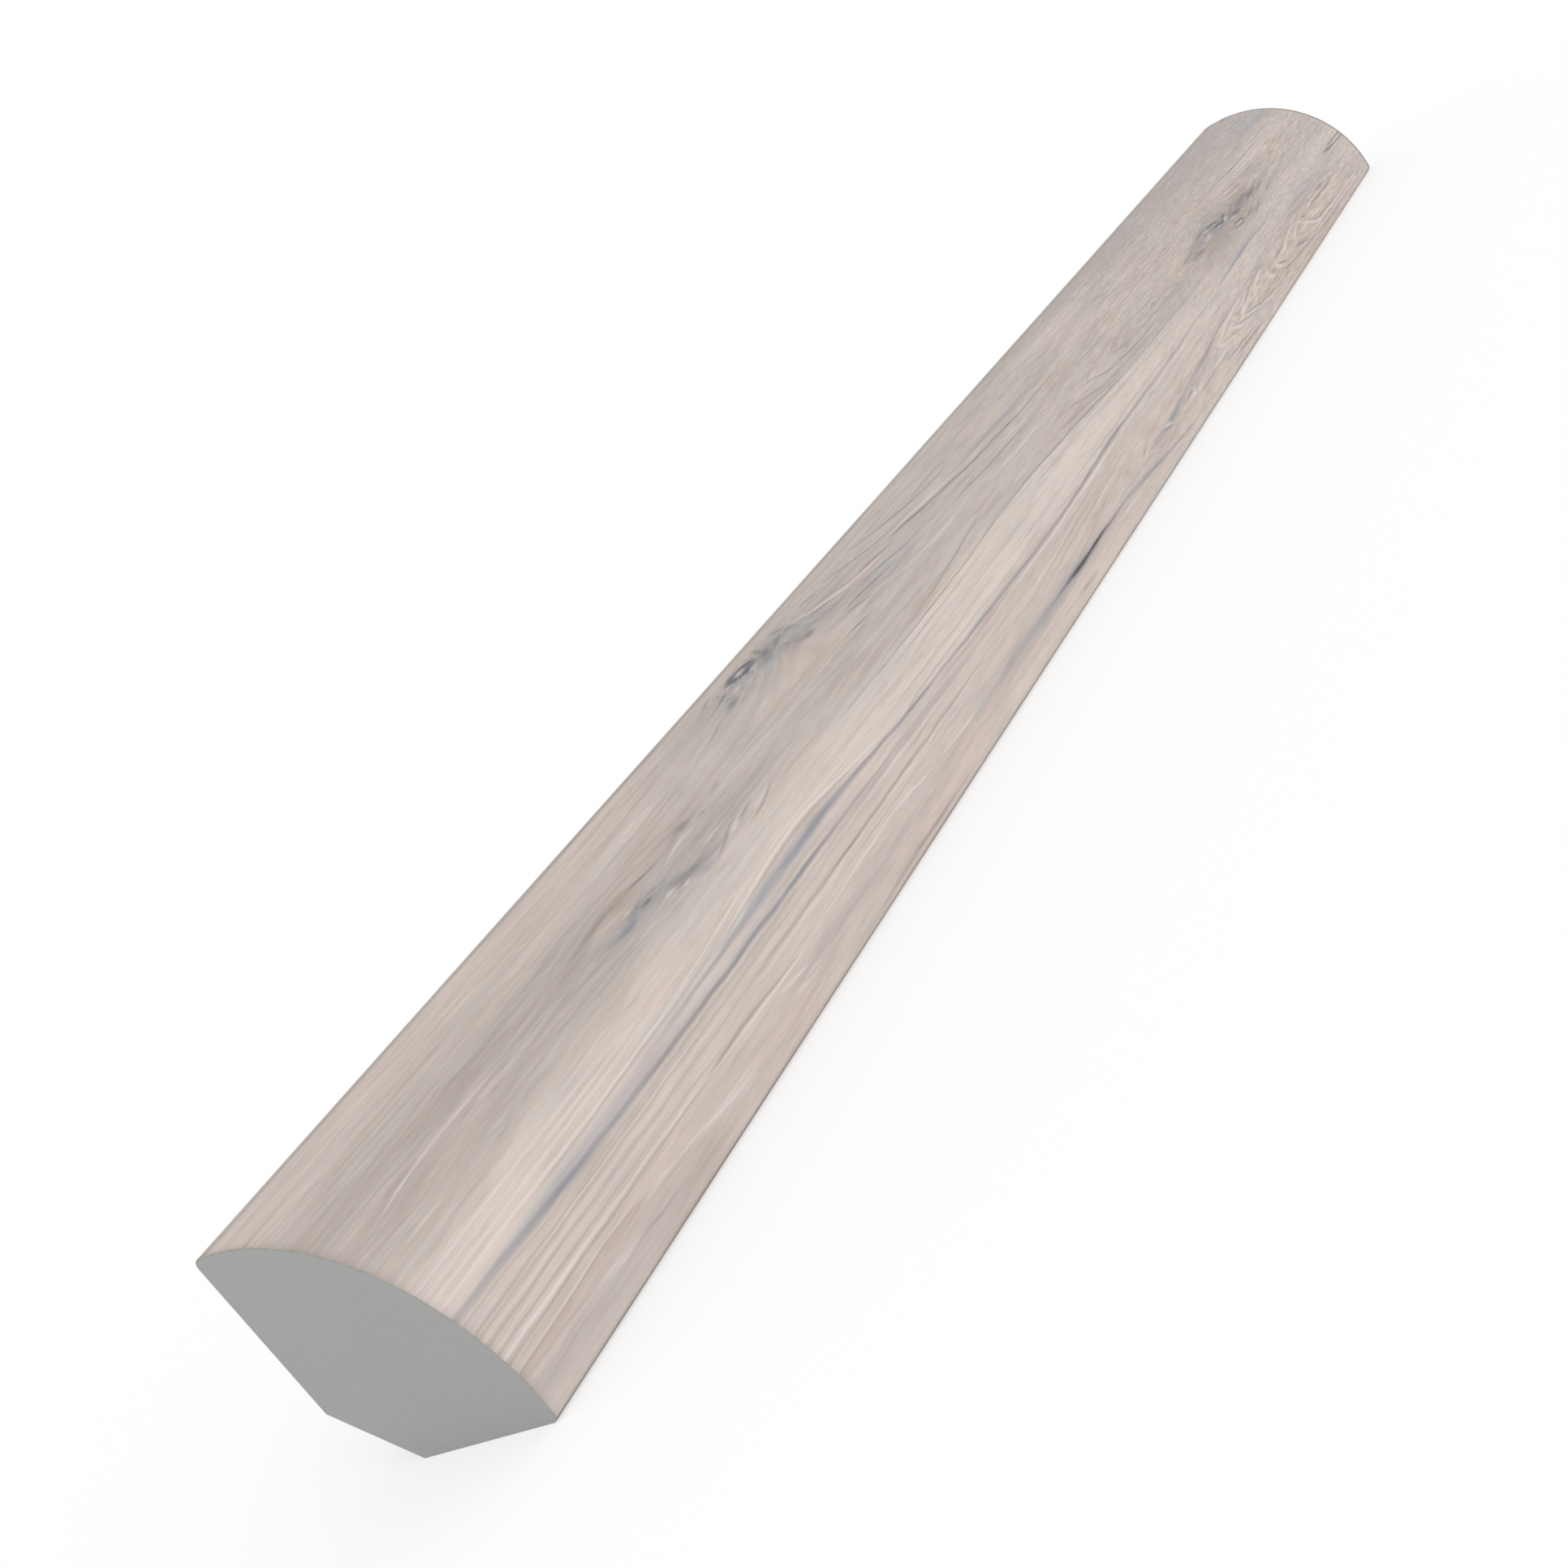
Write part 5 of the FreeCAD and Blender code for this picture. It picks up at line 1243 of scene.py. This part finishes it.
def extruded_core():
    """The flats and chamfer: the same grey, drawn out by the die into faint lines along the length."""
    core = Finish("extruded_core")
    place = core.node("ShaderNodeTexCoord", output="Object")
    shade, fine = core_shade(core, place)
    lines = drawn_out(core, place, (1600.0, 8.0, 1600.0), 2.0)
    shade = core.blend((lines * 2.2 - 0.8).clamped() * 0.5, shade, colour(172, 171, 171))
    height = lines + fine * 0.3
    bump = core.node("ShaderNodeBump", sockets={"Strength": 0.35, "Distance": 0.00004, "Height": height})
    return core.surface(shade, 0.6 - lines * 0.1, bump, specular=0.3)


def make_floor():
    """A wide pale floor. To the camera it is part light of its own, so that open floor is white and
    only the soft shadow of the moulding shows on it."""
    half = 12.0
    corners = [(-half, -half, 0), (half, -half, 0), (half, half, 0), (-half, half, 0)]
    mesh = bpy.data.meshes.new("floor")
    mesh.from_pydata(corners, [], [(0, 1, 2, 3)])
    floor = bpy.data.objects.new("floor", mesh)
    bpy.context.scene.collection.objects.link(floor)
    paint = Finish("pale_floor")
    seen = paint.node("ShaderNodeLightPath", output="Is Camera Ray")
    for ray in ("Is Glossy Ray", "Is Transmission Ray"):
        seen = seen + paint.node("ShaderNodeLightPath", output=ray)
    shadow_depth = 0.4
    lit = paint.node("ShaderNodeBsdfDiffuse", sockets={"Color": (shadow_depth,) * 3 + (1,)})
    glow = paint.node("ShaderNodeEmission", sockets={"Color": (1, 1, 1, 1), "Strength": 1 - shadow_depth})
    shown = paint.node("ShaderNodeAddShader", sockets={0: lit, 1: glow})
    plain = paint.node("ShaderNodeBsdfDiffuse", sockets={"Color": (0.94, 0.94, 0.94, 1)})
    paint.finish_with(paint.node("ShaderNodeMixShader", sockets={0: seen, 1: plain, 2: shown}))
    mesh.materials.append(paint.material)


def make_light():
    """An even white sky of strength 1, under which a matt colour looks as it is written."""
    world = bpy.data.worlds.new("white_sky")
    world.use_nodes = True
    sky = world.node_tree.nodes["Background"]
    sky.inputs["Color"].default_value = (1, 1, 1, 1)
    sky.inputs["Strength"].default_value = 1.0
    bpy.context.scene.world = world


def make_camera():
    """The camera at the photograph's viewing angle: low before the near end, and rolled."""
    place = Vector((0.11265, -0.20411, 0.05110))
    right = Vector((0.70724, 0.39836, -0.58406))
    look = Vector((-0.61022, 0.76113, -0.21980))
    up = right.cross(look)
    lens = bpy.data.cameras.new("camera")
    lens.sensor_width = 36.0
    lens.lens = 49.216
    lens.clip_start = 0.01
    camera = bpy.data.objects.new("camera", lens)
    bpy.context.scene.collection.objects.link(camera)
    turn = Matrix((right, up, -look)).transposed().to_4x4()
    camera.matrix_world = Matrix.Translation(place) @ turn
    bpy.context.scene.camera = camera


make_film()
make_core(extruded_core(), sawn_core())
make_floor()
make_light()
make_camera()
bpy.context.scene.view_settings.view_transform = "Standard"
